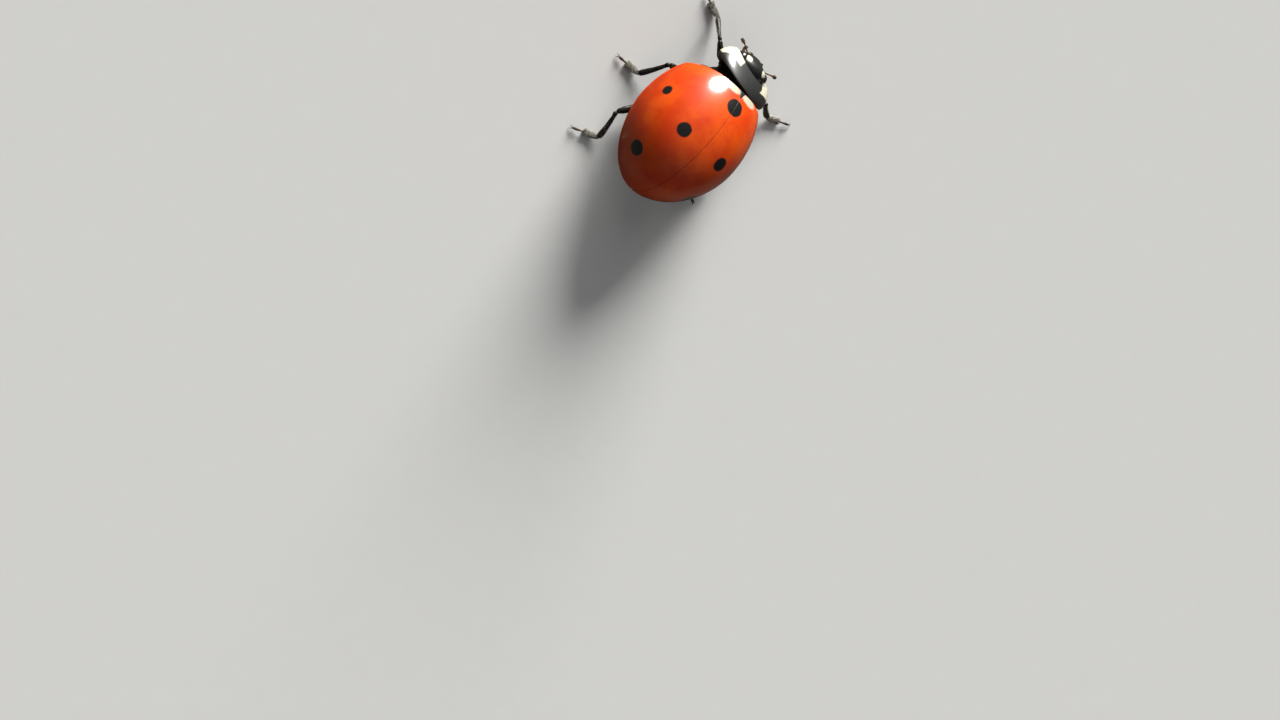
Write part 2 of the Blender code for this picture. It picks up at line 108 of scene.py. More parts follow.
def size(name, description, default):
    return number(name, description + ", in millimetres", default)


def bearing(name, description, degrees):
    return number(name, description, math.radians(degrees), subtype="ANGLE")


def power(name, description, default):
    return number(name, description + ", in watts on a square metre", default)


def colour(name, description, default):
    return bpy.props.FloatVectorProperty(name=name, description=description, subtype="COLOR", size=3,
                                         min=0, max=1, default=default)


class LADYBIRD_PG_shell(bpy.types.PropertyGroup):
    """Sizes and colours of the wing cases and pronotum."""
    half_width: size("Half width", "From the midline to the widest edge of a wing case",
                     round((CASE_HIGH.x - MIDLINE) / MM, 3))
    top: size("Top", "Height of the dome over the floor", round(CASE_HIGH.z / MM, 3))
    rim: size("Rim", "Height of the lower edge of the wing cases", 1.30)
    wall: size("Wall", "Thickness of a wing case", 0.11)
    seam: size("Seam", "Half the gap between the wing cases", 0.0015)
    plate: size("Plate", "Thickness of the pronotum", 0.10)
    red: colour("Red", "Main colour of the wing cases", (0.63, 0.043, 0.0006))
    orange: colour("Orange", "Lighter clouds in the red", (0.76, 0.082, 0.0012))
    black: colour("Black", "Spots and plates", (0.005, 0.0055, 0.005))
    cream: colour("Cream", "Pale patches of the pronotum", (0.60, 0.585, 0.45))
    pale: colour("Pale", "Pale patches at the base of the wing cases", (0.50, 0.46, 0.34))
    spot_a: size("Shared spot", "Half width of the spot behind the pronotum", 0.42)
    spot_b: size("Shoulder spot", "Radius of the outer front spot", 0.235)
    spot_c: size("Middle spot", "Radius of the inner middle spot", 0.335)
    spot_d: size("Rear spot", "Radius of the outer rear spot", 0.36)


class LADYBIRD_PG_body(bpy.types.PropertyGroup):
    """Sizes and colours of the head, underside, legs and feelers."""
    black: colour("Black", "Underside, head and legs", (0.007, 0.007, 0.006))
    brown: colour("Brown", "Feelers, palps and feet", (0.060, 0.028, 0.011))
    hair: colour("Hair", "Short hairs of the legs and underside", (0.36, 0.34, 0.28))
    pad: colour("Pad", "Dense pale hairs of the feet", (0.50, 0.48, 0.415))
    thigh_radius: size("Thigh radius", "Half the height of a thigh at its middle", 0.235)
    shin_radius: size("Shin radius", "Half the width of a shin near its end", 0.15)
    foot_radius: size("Foot radius", "Half the width of the broadest foot lobe", 0.15)
    feeler_radius: size("Feeler radius", "Half the width of a feeler's shaft", 0.036)
    hair_length: size("Hair length", "Longest hair of the shins", 0.085)


class LADYBIRD_PG_stage(bpy.types.PropertyGroup):
    """Camera, lights and floor."""
    azimuth: bearing("Azimuth", "Side the camera looks from", 100.55)
    elevation: bearing("Elevation", "Height of the camera over the floor", 66.27)
    roll: bearing("Roll", "Turn of the camera about its line of sight", 122.9)
    distance: number("Distance", "From the camera to the beetle", 0.1567, unit="LENGTH")
    lens: number("Lens", "Focal length in millimetres", 100)
    aside: number("Aside", "Beetle right of the picture's middle, in parts of its distance", 0.01536)
    above: number("Above", "Beetle above the picture's middle, in parts of its distance", 0.0639)
    key_power: power("Key light", "Main light", 8.4)
    soft_power: power("Soft light", "Broad light from in front and above", 0.45)
    fill_power: power("Fill light", "Broad light from behind", 0.35)
    overhead: number("Overhead", "Brightness of the sky overhead", 0.10)
    horizon: number("Horizon", "Brightness of the sky low down", 0.03)
    floor: colour("Floor", "Colour of the floor", (0.80, 0.80, 0.785))
    bounce: colour("Bounce", "Colour that the floor lends to the beetle", (0.13, 0.12, 0.10))
    backdrop: colour("Backdrop", "Tone beyond the floor, like the lit floor's", (0.606, 0.603, 0.580))


# ---- helpers for objects ----

def choose(obj):
    """Make one object the only selected one."""
    bpy.ops.object.select_all(action="DESELECT")
    obj.select_set(True)
    bpy.context.view_layer.objects.active = obj


def to_row(point):
    """From the body's frame in millimetres to the shared frame in metres."""
    return BODY + Vector(point) * MM


def apply_modifiers(obj):
    choose(obj)
    for modifier in list(obj.modifiers):
        bpy.ops.object.modifier_apply(modifier=modifier.name)


def settle(obj, name, finish, nodes=(), turn=None):
    """Name a finished piece, take it to its place and let it ride on the body."""
    obj.name = obj.data.name = name
    if turn:
        obj.data.transform(turn)
    obj.data.transform(Matrix.Translation(BODY) @ Matrix.Scale(MM, 4))
    obj.data.materials.clear()
    obj.data.materials.append(finish)
    obj.data.shade_smooth()
    obj.data.set_sharp_from_angle(angle=SHARP)
    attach(obj, "root")
    if nodes:
        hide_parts(*nodes)
    return obj


def begin(primitive, **sizes):
    """Add a primitive with nothing else selected, and open it for shaping."""
    bpy.ops.object.select_all(action="DESELECT")
    getattr(bpy.ops.mesh, f"primitive_{primitive}_add")(**sizes)
    bpy.ops.object.mode_set(mode="EDIT")
    return bpy.context.object


def push(obj, centre, radius, by, reach):
    """Move what lies in a ball, and draw its surroundings along."""
    bpy.ops.mesh.select_mode(type="VERT")
    bpy.ops.mesh.select_all(action="DESELECT")
    mesh = bmesh.from_edit_mesh(obj.data)
    for vert in mesh.verts:
        vert.select_set((vert.co - Vector(centre)).length < radius)
    mesh.select_flush_mode()
    bmesh.update_edit_mesh(obj.data)
    bpy.ops.transform.translate(value=by, use_proportional_edit=True, proportional_edit_falloff="SMOOTH",
                                proportional_size=reach)


def close_up(obj):
    """Leave edit mode with all faces pointing outwards."""
    bpy.ops.mesh.select_mode(type="VERT")
    bpy.ops.mesh.select_all(action="SELECT")
    bpy.ops.mesh.normals_make_consistent(inside=False)
    bpy.ops.object.mode_set(mode="OBJECT")
    return obj


def face_out(obj):
    choose(obj)
    bpy.ops.object.mode_set(mode="EDIT")
    close_up(obj)


def ball(centre, radii, segments, rings):
    """A sphere stretched to three half sizes, left open for shaping."""
    obj = begin("uv_sphere", segments=segments, ring_count=rings, radius=1)
    bpy.ops.transform.resize(value=radii, center_override=(0, 0, 0))
    bpy.ops.transform.translate(value=centre)
    return obj


def sheet(columns, rows, rule):
    """A grid laid on rule(v, u), with v and u from 0 to 1, facing up."""
    bpy.ops.object.select_all(action="DESELECT")
    bpy.ops.mesh.primitive_grid_add(x_subdivisions=columns, y_subdivisions=rows, size=2, calc_uvs=True)
    obj = bpy.context.object
    for vert in obj.data.vertices:
        vert.co = rule((vert.co.y + 1) / 2, (vert.co.x + 1) / 2)
    if sum(face.normal.z * face.area for face in obj.data.polygons) < 0:
        obj.data.flip_normals()
    return obj


def closed_form(sides, rings, rule):
    """A sphere laid on rule(t, angle), with t from 0 to 1 between its poles."""
    bpy.ops.object.select_all(action="DESELECT")
    bpy.ops.mesh.primitive_uv_sphere_add(segments=sides, ring_count=rings, radius=1)
    obj = bpy.context.object
    for vert in obj.data.vertices:
        t = math.acos(max(-1.0, min(1.0, -vert.co.z))) / math.pi
        vert.co = rule(t, math.atan2(vert.co.y, vert.co.x))
    face_out(obj)
    return obj


def thicken(obj, thickness, levels=0, crisp=0.0):
    """Give a sheet a wall on its inner side, and smooth it; crisp keeps its edges square."""
    solidify = obj.modifiers.new("wall", "SOLIDIFY")
    solidify.thickness = thickness
    solidify.offset = -1
    solidify.edge_crease_outer = solidify.edge_crease_inner = crisp
    if levels:
        subdivide(obj, levels)
    apply_modifiers(obj)


def subdivide(obj, levels):
    smooth = obj.modifiers.new("smooth", "SUBSURF")
    smooth.levels = smooth.render_levels = levels


def smoothed(obj):
    subdivide(obj, 1)
    apply_modifiers(obj)
    return obj


def twin(obj, place=None):
    """A copy with its own mesh."""
    copy = obj.copy()
    copy.data = obj.data.copy()
    bpy.context.scene.collection.objects.link(copy)
    if place:
        copy.data.transform(place)
    return copy


def mirrored(obj):
    """A copy on the other side of the midline."""
    copy = twin(obj, Matrix.Scale(-1, 4, (1, 0, 0)))
    copy.data.flip_normals()
    return copy


def joined(objects):
    bpy.ops.object.select_all(action="DESELECT")
    for obj in objects:
        obj.select_set(True)
    bpy.context.view_layer.objects.active = objects[0]
    bpy.ops.object.join()
    return bpy.context.object


# ---- rules for the shell ----

WIDEST_Y = 0.57
BASE_Y = -2.33
TOP_Y = 0.70
FRONT_REACH = 3.66              # the plan closes this far in front of the widest place
FRONT_POWER, REAR_POWER = 2.06, 1.8
FRONT_DOME_REACH = 3.92         # the profile closes this far in front of the top
FRONT_RISE_POWER, REAR_RISE_POWER = 2.0, 2.09
SECTION_POWER = 2.18
SHOULDER_ROUND = 0.66           # the base runs back this much at the shoulders
SHOULDER_POWER = 3
SHOULDER_FROM_Y, SHOULDER_LIFT = -0.4, 0.22
TAIL_FROM_Y, TAIL_DROP = 1.5, 0.12
LAST_ROW = 0.992                # the rows stop just short of the tip


def closing(fraction, power):
    """One at 0, falling to zero at 1 along a superellipse."""
    return math.sqrt(max(0.0, 1.0 - min(abs(fraction), 1.0) ** power))


def bump_at(value, centre, width):
    """A smooth bump of height 1."""
    return math.exp(-((value - centre) / width) ** 2)


def ramp(value, start, end):
    """Zero up to start, one at end, and rising on beyond it."""
    return max(0.0, (value - start) / (end - start))


def half_width(y):
    widest = bpy.context.scene.ladybird_shell.half_width
    if y > WIDEST_Y:
        return widest * closing((y - WIDEST_Y) / (TAIL_Y - WIDEST_Y), REAR_POWER)
    return widest * closing((WIDEST_Y - y) / FRONT_REACH, FRONT_POWER)


def crest_height(y):
    """Height of the back on the midline."""
    shell = bpy.context.scene.ladybird_shell
    if y > TOP_Y:
        share = closing((y - TOP_Y) / (TAIL_Y - TOP_Y), REAR_RISE_POWER)
    else:
        share = closing((y - TOP_Y) / FRONT_DOME_REACH, FRONT_RISE_POWER)
    return shell.rim + (shell.top - shell.rim) * share


def rim_height(y):
    """Height of the lower edge, which rises to the shoulders and sinks to the tail."""
    shoulder = ramp(y, SHOULDER_FROM_Y, BASE_Y)
    tail = ramp(y, TAIL_FROM_Y, TAIL_Y)
    return bpy.context.scene.ladybird_shell.rim + SHOULDER_LIFT * shoulder ** 2 - TAIL_DROP * tail ** 2


def dome_height(y, u):
    """Height over a place that is u of the way from the midline to the edge."""
    rim = rim_height(y)
    return rim + (crest_height(y) - rim) * closing(u, SECTION_POWER)


def on_dome(x, y):
    """The place on the dome over a place in plan."""
    return (x, y, dome_height(y, x / half_width(y)))


def dome_point(along, across):
    """Outer face of the wing cases: along 0..1 from base to tip, across 0..1 from seam to edge."""
    base = BASE_Y + SHOULDER_ROUND * abs(across) ** SHOULDER_POWER
    y = base + (TAIL_Y - base) * math.sin(along * LAST_ROW * math.pi / 2)
    u = math.sin(min(across, 1.0) * math.pi / 2)
    return Vector((half_width(y) * u, y, dome_height(y, u)))


def inward(y):
    """The direction in plan from the edge of the dome toward its middle."""
    step = 0.01
    return Vector((-1, (half_width(y + step) - half_width(y - step)) / (2 * step), 0)).normalized()


DOME_SHARE = 0.86               # share of a wing case's columns on the dome, the rest is the fold below
MARGIN_SHARE = 0.20             # share of the dome's columns that follow its edge closely
MARGIN_FROM = 0.92              # where that band begins, between seam 0 and edge 1
SEAM_CROWDING = 1.35
BEAD, SHOULDER_BEAD = 0.026, 0.008
BEAD_THINS_Y = (-0.6, -1.8)     # between these the bead falls to its size at the shoulder
BEAD_WIDTH, GROOVE_UP, GROOVE_WIDTH, GROOVE_DEPTH = 0.05, 0.13, 0.045, 0.6
SEAM_DIP, SEAM_DIP_WIDTH = 0.006, 0.02
FOLD_BREADTH, FOLD_NARROWING, FOLD_NARROWS_Y = 0.56, 0.34, (-1.6, 4.0)
FOLD_LIFT, FOLD_SAG = 0.10, 0.03


def spread(column):
    """Columns crowd toward the seam and along the outer edge."""
    inner = 1 - MARGIN_SHARE
    if column < inner:
        return MARGIN_FROM * (column / inner) ** SEAM_CROWDING
    return MARGIN_FROM + (1 - MARGIN_FROM) * (column - inner) / MARGIN_SHARE


def bead_size(y):
    """The raised edge is slighter at the shoulder."""
    return BEAD - (BEAD - SHOULDER_BEAD) * min(1.0, ramp(y, *BEAD_THINS_Y))


def wing_case_point(along, column):
    """Outer face and the fold under it: column 0..1 from the seam to the inner edge of the fold."""
    if column <= DOME_SHARE:
        point = dome_point(along, spread(column / DOME_SHARE))
        over_edge = point.z - rim_height(point.y)
        bead = bump_at(over_edge, 0, BEAD_WIDTH) - GROOVE_DEPTH * bump_at(over_edge, GROOVE_UP, GROOVE_WIDTH)
        point -= inward(point.y) * (bead_size(point.y) * bead)
        point.z -= SEAM_DIP * bump_at(point.x, 0.0, SEAM_DIP_WIDTH)
    else:
        edge = dome_point(along, 1.0)
        fold = (column - DOME_SHARE) / (1 - DOME_SHARE)
        breadth = FOLD_BREADTH - FOLD_NARROWING * ramp(edge.y, *FOLD_NARROWS_Y)
        lift = FOLD_LIFT * math.sin(fold * math.pi / 2) - FOLD_SAG * math.sin(fold * math.pi)
        reach = breadth * fold - bead_size(edge.y) * (1 - fold)
        point = edge + inward(edge.y) * reach + Vector((0, 0, lift))
    point.x = max(point.x, bpy.context.scene.ladybird_shell.seam)
    return point


SCUTELLUM_WIDTH, SCUTELLUM_LENGTH, SCUTELLUM_WALL = 0.40, 0.34, 0.08
SCUTELLUM_PILLOW = 0.030


def scutellum_point(back, side):
    """A triangle that lies on the dome and swells a little."""
    y = BASE_Y - 0.02 + SCUTELLUM_LENGTH * back
    x = (side - 0.5) * SCUTELLUM_WIDTH * (1 - back) ** 0.85
    pillow = SCUTELLUM_PILLOW * (1 - abs(2 * side - 1) ** 3) * (1 - back ** 3)
    return Vector((x, y, dome_height(y, 0) + pillow))


# ---- rules for the pronotum ----

PRONOTUM_SHARE = 0.80           # share of its columns on the outer face, the rest are folds
PRONOTUM_REAR_Y = BASE_Y - 0.04
PRONOTUM_REAR_SWEEP = 0.13      # its hind corners stand this much in front of its middle
PRONOTUM_FRONT_Y = -3.20
PRONOTUM_CORNER_REACH = 0.28
PRONOTUM_CORNER_POWER = 2.5
PRONOTUM_HALF_WIDTH = 1.69
PRONOTUM_NARROW_FROM, PRONOTUM_NARROWING = 0.2, 0.72
PRONOTUM_FLARE, PRONOTUM_FLARE_END = 0.04, 0.25
PRONOTUM_REAR_Z = (1.74, 3.02)  # edge and crest
PRONOTUM_FRONT_Z = (1.62, 2.44)
PRONOTUM_CREST_POWER = 1.25
PRONOTUM_SECTION_POWER = 2.2
PRONOTUM_EDGE = 0.02            # how much its side edges are raised
PRONOTUM_BEAD, PRONOTUM_GROOVE = (1.0, 0.05), (0.91, 0.035)     # place across and width
PRONOTUM_FOLD = (0.62, 0.04, 0.16, 0.03)    # inward, back, down and bulge


def between(low, high, share):
    return low + (high - low) * share


def pronotum_face(forward, across):
    """Outer face: forward 0..1 from hind to front margin, across -1..1 over the back."""
    u = math.sin(across * math.pi / 2)
    rear = PRONOTUM_REAR_Y - PRONOTUM_REAR_SWEEP * u ** 2
    front = PRONOTUM_FRONT_Y - PRONOTUM_CORNER_REACH * abs(u) ** PRONOTUM_CORNER_POWER
    taper = ramp(forward, PRONOTUM_NARROW_FROM, 1) * PRONOTUM_NARROWING
    flare = PRONOTUM_FLARE * (1 - min(forward / PRONOTUM_FLARE_END, 1)) ** 2
    x = PRONOTUM_HALF_WIDTH * (math.sqrt(1 - taper ** 2) - flare) * u
    edge = between(PRONOTUM_REAR_Z[0], PRONOTUM_FRONT_Z[0], forward)
    crest = between(PRONOTUM_REAR_Z[1], PRONOTUM_FRONT_Z[1], forward ** PRONOTUM_CREST_POWER)
    return Vector((x, between(rear, front, forward),
                   edge + (crest - edge) * closing(u, PRONOTUM_SECTION_POWER)))


def pronotum_point(forward, column):
    """The plate with a raised edge and the fold under its sides."""
    across = (column * 2 - 1) / PRONOTUM_SHARE
    side = math.copysign(1, across)
    if abs(across) <= 1:
        point = pronotum_face(forward, across)
        point.x += side * PRONOTUM_EDGE * bump_at(abs(across), *PRONOTUM_BEAD)
        point.z -= PRONOTUM_EDGE * bump_at(abs(across), *PRONOTUM_GROOVE)
        return point
    inside, back, down, bulge = PRONOTUM_FOLD
    fold = (abs(across) - 1) / (1 / PRONOTUM_SHARE - 1)
    point = pronotum_face(forward, side)
    lift = bulge * math.sin(fold * math.pi) - down * fold ** 2
    point += Vector((-side * inside * fold, back * fold, lift))
    point.x += side * PRONOTUM_EDGE * (1 - fold)
    return point


# ---- rules for the underside ----

LINING = 0.34                   # the body's surface below the wing cases' outer face
BELLY_Z = 0.60
BELLY_RIM_Z = 1.26
BELLY_POWER = 1.2
WAIST_Y = 0.58
THORAX_FRONT_Y = -2.22
COLLAR_FRONT_Y = -2.80          # the thorax runs on as a collar under the pronotum
COLLAR_Z = 1.90
COLLAR_ROUND = 0.22
COLLAR_STEP, COLLAR_TAPER = 0.14, 0.60
PROSTERNUM_Y = (-3.05, -2.37)   # front and rear, as are the next three
PROSTERNUM_HALF_WIDTH = (0.94, 1.24)
PROSTERNUM_RIM_Z = (1.52, 1.64)
PROSTERNUM_TOP_Z = (2.27, 2.81)
PROSTERNUM_BELLY_Z = 0.88
STERNITES = (0.60, 1.42, 2.02, 2.52, 2.94, 3.30)    # where the plates of the abdomen start
PLATE_SINK, PLATE_STEP = 0.020, 0.060
GROOVE = 0.030                  # depth of the grooves between the breast plates
GROOVE_SIDE = (0.74, 0.025)     # place from the midline 0 to the side 1, and width
GROOVE_CROSS = (-0.72, 0.15, 0.035)     # place along the body, how far it slants back, and width
GROOVE_MIDDLE = (-0.70, 0.8, 0.035)     # where it starts, depth in parts of the others', and width
KEEL = (0.035, 0.16, 0.05, 0.4)         # height, distance from the midline, width and fall to the rear


def torso_point(y, angle, half, top, rim, belly):
    """A cross-section of the body: a dome above the rim, a keel below it."""
    u = math.cos(angle)
    if math.sin(angle) >= 0:
        return Vector((half * u, y, rim + (top - rim) * closing(u, SECTION_POWER)))
    return Vector((half * u, y, belly + (rim - belly) * abs(u) ** BELLY_POWER))


def lined(y, angle):
    """The body under the wing cases."""
    shell = bpy.context.scene.ladybird_shell
    fit = closing(max(0.0, y - WIDEST_Y) / (TAIL_Y - LINING - WIDEST_Y), REAR_POWER)
    half = half_width(y) - LINING if y < WIDEST_Y else (shell.half_width - LINING) * fit
    top = crest_height(y) - LINING if y < TOP_Y else between(BELLY_RIM_Z, shell.top - LINING, fit)
    return torso_point(y, angle, half, top, BELLY_RIM_Z, between(BELLY_RIM_Z, BELLY_Z, fit))


def abdomen_rule(t, angle):
    """Plates that each stand a little over the next."""
    cap = 0.04
    length = TAIL_Y - LINING - 0.02 - WAIST_Y
    y = WAIST_Y + 0.02 + length * min(1.0, ramp(t, cap, 1)) ** 0.9
    point = lined(y, angle)
    middle = (lined(y, 0) + lined(y, math.pi)) / 2
    if t < cap:
        return middle.lerp(point, t / cap)
    if math.sin(angle) >= 0:
        return point
    plate = max(i for i, start in enumerate(STERNITES) if y >= start or i == 0)
    end = (*STERNITES, TAIL_Y)[plate + 1]
    proud = PLATE_STEP * ramp(y, STERNITES[plate], end) ** 2 - PLATE_SINK
    return point + (point - middle).normalized() * proud


def thorax_rule(t, angle):
    """Breast plates with the grooves between them."""
    cap = 0.04
    at = between(COLLAR_FRONT_Y, WAIST_Y, min(1.0, ramp(t, cap, 1 - cap)))
    y = max(at, THORAX_FRONT_Y)
    point = lined(y, angle)
    if math.sin(angle) < 0:
        side = abs(math.cos(angle))
        place, slant, width = GROOVE_CROSS
        groove = bump_at(side, *GROOVE_SIDE) + bump_at(y, place + slant * side, width)
        start, share, width = GROOVE_MIDDLE
        groove += share * bump_at(point.x, 0.0, width) * (y > start)
        point.z += GROOVE * min(1.0, groove)
    front = THORAX_FRONT_Y + COLLAR_ROUND - at
    middle = Vector((0, y, COLLAR_Z if front > 0 else BELLY_RIM_Z))
    if front > 0:
        narrow = COLLAR_STEP * (1 - closing(front / COLLAR_ROUND, 2))
        point = point.lerp(middle, narrow + COLLAR_TAPER * max(0.0, front - COLLAR_ROUND))
    point.y = middle.y = at
    return middle.lerp(point, min(t / cap, (1 - t) / cap, 1.0))


def prosternum_rule(t, angle):
    """The plate between the fore legs, with a keel either side of its middle."""
    cap = 0.06
    share = min(1.0, ramp(t, cap, 1 - cap))
    y, half, rim, top = (between(*pair, share) for pair in
                         (PROSTERNUM_Y, PROSTERNUM_HALF_WIDTH, PROSTERNUM_RIM_Z, PROSTERNUM_TOP_Z))
    point = torso_point(y, angle, half, top, rim, PROSTERNUM_BELLY_Z)
    if math.sin(angle) < 0:
        height, out, width, fall = KEEL
        point.z -= height * bump_at(abs(point.x), out, width) * (1 - share * fall)
    middle = Vector((0, y, 1.7))
    return middle.lerp(point, min(t / cap, (1 - t) / cap, 1.0))


# ---- limbs ----

def bezier(points, t):
    points = list(points)
    while len(points) > 1:
        points = [a.lerp(b, t) for a, b in zip(points, points[1:])]
    return points[0]


def placed(start, ahead, out):
    """A frame at a point whose Z runs ahead and whose X leans out."""
    ahead = ahead.normalized()
    side = ahead.cross(out).normalized()
    return Matrix.Translation(start) @ Matrix((side.cross(ahead), side, ahead)).transposed().to_4x4()


class Rod:
    """A slender piece with a curved spine of (x, z) points in its own XZ plane, and half widths along it."""

    def __init__(self, spine, breadth, depth, place, round_ends=0.06):
        self.spine = [Vector((x, 0, z)) for x, z in spine]
        self.breadth, self.depth = breadth, depth
        self.place = place
        self.round_ends = round_ends

    def heading(self, t):
        ahead = bezier(self.spine, min(1.0, t + 0.01)) - bezier(self.spine, max(0.0, t - 0.01))
        return math.atan2(ahead.x, ahead.z)

    def axes(self, t):
        """Ahead, across and up, in the body's frame."""
        heading = self.heading(t)
        turn = self.place.to_3x3()
        return (turn @ Vector((math.sin(heading), 0, math.cos(heading))), turn @ Vector((0, 1, 0)),
                turn @ Vector((math.cos(heading), 0, -math.sin(heading))))

    def station(self, t):
        """Place, heading and half widths, drawn in to round both ends."""
        end = min(t, 1 - t) / self.round_ends
        close = max(BLUNT, closing(1 - end, 2)) if end < 1 else 1.0
        return bezier(self.spine, t), self.heading(t), self.breadth(t) * close, self.depth(t) * close

    def point(self, t, angle):
        here, _, broad, deep = self.station(t)
        _, across, up = self.axes(t)
        return self.place @ here + across * math.cos(angle) * broad + up * math.sin(angle) * deep

    def normal(self, t, angle):
        _, across, up = self.axes(t)
        return (across * math.cos(angle) / self.breadth(t)
                + up * math.sin(angle) / self.depth(t)).normalized()

    def grow(self, sides, rings):
        """Extrude a ring along the spine, turned and resized at each step."""
        obj = begin("circle", vertices=sides, radius=1, fill_type="NGON")
        here, heading, broad, deep = self.station(0)
        bpy.ops.transform.resize(value=(deep, broad, 1), center_override=(0, 0, 0))
        bpy.ops.transform.rotate(value=-heading, orient_axis="Y", center_override=(0, 0, 0))
        bpy.ops.transform.translate(value=here)
        for step in range(1, rings + 1):
            there, onward, wider, deeper = self.station((1 - math.cos(math.pi * step / rings)) / 2)
            bpy.ops.mesh.extrude_region_move(TRANSFORM_OT_translate={"value": there - here})
            bpy.ops.transform.rotate(value=heading - onward, orient_axis="Y", center_override=there)
            bpy.ops.transform.resize(value=(deeper / deep, wider / broad, deeper / deep),
                                     center_override=there)
            here, heading, broad, deep = there, onward, wider, deeper
        return close_up(obj)

    def made(self, sides, rings):
        """Grown and taken to its place."""
        obj = self.grow(sides, rings)
        obj.data.transform(self.place)
        return obj


def through(*stops, scale=1):
    """A smooth function through (place, value) stops."""
    def value(t):
        for (a, low), (b, high) in zip(stops, stops[1:]):
            if t <= b:
                share = max(0.0, (t - a) / (b - a))
                return scale * between(low, high, share * share * (3 - 2 * share))
        return scale * stops[-1][1]
    return value


def steady(radius):
    return lambda t: radius


def knee_point(hip, ankle, thigh, shin, pole):
    """Where the two lengths meet, on the side the pole points to."""
    reach = ankle - hip
    axis = reach.normalized()
    foot = (thigh ** 2 - shin ** 2 + reach.length_squared) / (2 * reach.length)
    side = pole - axis * pole.dot(axis)
    return hip + axis * foot + side.normalized() * math.sqrt(thigh ** 2 - foot ** 2)


# Half width of a limb from its near end to its far end, in parts of its radius.
THIGH_PROFILE = ((0, 0.56), (0.05, 0.62), (0.11, 0.50), (0.42, 1.0), (0.80, 0.76), (1, 0.52))
SHIN_PROFILE = ((0, 0.72), (0.07, 0.80), (0.16, 0.62), (0.40, 0.74), (0.85, 1.0), (1, 0.86))
FIRST_LOBE = ((0, 0.50), (0.3, 0.66), (0.85, 0.92), (1, 0.8))
SECOND_LOBE = ((0, 0.45), (0.35, 0.80), (0.85, 1), (1, 0.86))
CLAW_JOINT = ((0, 0.28), (0.5, 0.27), (0.92, 0.42), (1, 0.36))
LOBE_DEPTH = ((0, 0.44), (1, 0.54))
THIGH_FLATNESS, SHIN_FLATNESS = 0.72, 0.80
BOW = 0.06                      # a limb's bend, in parts of its length
BLUNT = 0.10                    # least share of its width that a rod keeps at its very end


class Leg:
    """Joints and rods of one leg."""

    def __init__(self, pair, side):
        body = bpy.context.scene.ladybird_body
        shape, stance = PAIRS[pair], STANCE[pair, side]
        turn = NECK if pair == "fore" else Matrix.Identity(4)
        mirror = Matrix.Scale(SIDES[side], 4, (1, 0, 0))
        self.name = f"{pair}_{side}"
        self.coxa, hip = (turn @ (mirror @ Vector(shape[joint])) for joint in ("coxa", "hip"))
        ankle = Vector((*stance["ankle"], ANKLE_Z))
        knee = knee_point(hip, ankle, shape["thigh"], shape["shin"], Vector(stance["knee"]))
        self.bend = (knee - hip).cross(ankle - knee).normalized()
        self.thigh = self.segment(hip, knee, BOW, body.thigh_radius, THIGH_FLATNESS, THIGH_PROFILE)
        self.shin = self.segment(knee, ankle, -BOW, body.shin_radius, SHIN_FLATNESS, SHIN_PROFILE)
        self.foot = self.foot_rods(Vector((*stance["ankle"], 0)), Vector((*stance["toe"], 0)),
                                   body.foot_radius)

    def segment(self, start, end, bow, radius, flatness, stops):
        """A rod that bows a little in the plane of the leg's bend."""
        ahead = end - start
        long = ahead.length
        return Rod(((0, 0), (bow * long, long / 2), (0, long)), through(*stops, scale=radius * flatness),
                   through(*stops, scale=radius), placed(start, ahead, ahead.cross(self.bend)))

    @staticmethod
    def foot_rods(heel, toe, radius):
        """Two broad lobes, then the slender joint that holds the claws; x is up, z ahead."""
        place = placed(heel, toe - heel, Vector((0, 0, 1)))
        depth = through(*LOBE_DEPTH, scale=radius)
        slim = through(*CLAW_JOINT, scale=radius)
        end = (toe - heel).length + 0.02
        return [Rod(((0.22, -0.06), (0.20, 0.16), (0.125, 0.37)), through(*FIRST_LOBE, scale=radius), depth,
                    place, 0.16),
                Rod(((0.13, 0.27), (0.125, 0.49), (0.105, 0.68)), through(*SECOND_LOBE, scale=radius), depth,
                    place, 0.18),
                Rod(((0.13, 0.50), (0.19, 0.80), (0.12, end)), slim, slim, place, 0.08)]


# ---- hairs ----

HAIR_SIDES = 3
HAIR_VERTS = 2 * HAIR_SIDES + 1
HAIR_FACES = 2 * HAIR_SIDES + 1
PATCH = 0.0015                  # half size of a hair's place on the map
CLEARANCE = 0.006               # hair tips stay this far above the floor
SHORTEST = 0.02
# Where a hair's middle and tip lie, in parts of its length: along its direction and along its droop.
HAIR_MIDDLE, HAIR_TIP = (0.55, 0.10), (0.96, 0.32)
HIP_SINK = 0.95                 # roots lie this far out in the hip joint
HIP_LEAN, PLATE_LEAN = (0.4, 0.75), 0.62
TILES = 3                       # a hair map holds this many limbs or plates side by side
BACK = Vector((0, 1, 0))


def on_map(tile, t, angle):
    """A root's place on an unwrap: along its limb, and round it."""
    return ((tile + 0.02 + 0.96 * t) / TILES, 0.02 + 0.96 * (angle / math.tau + 0.5))


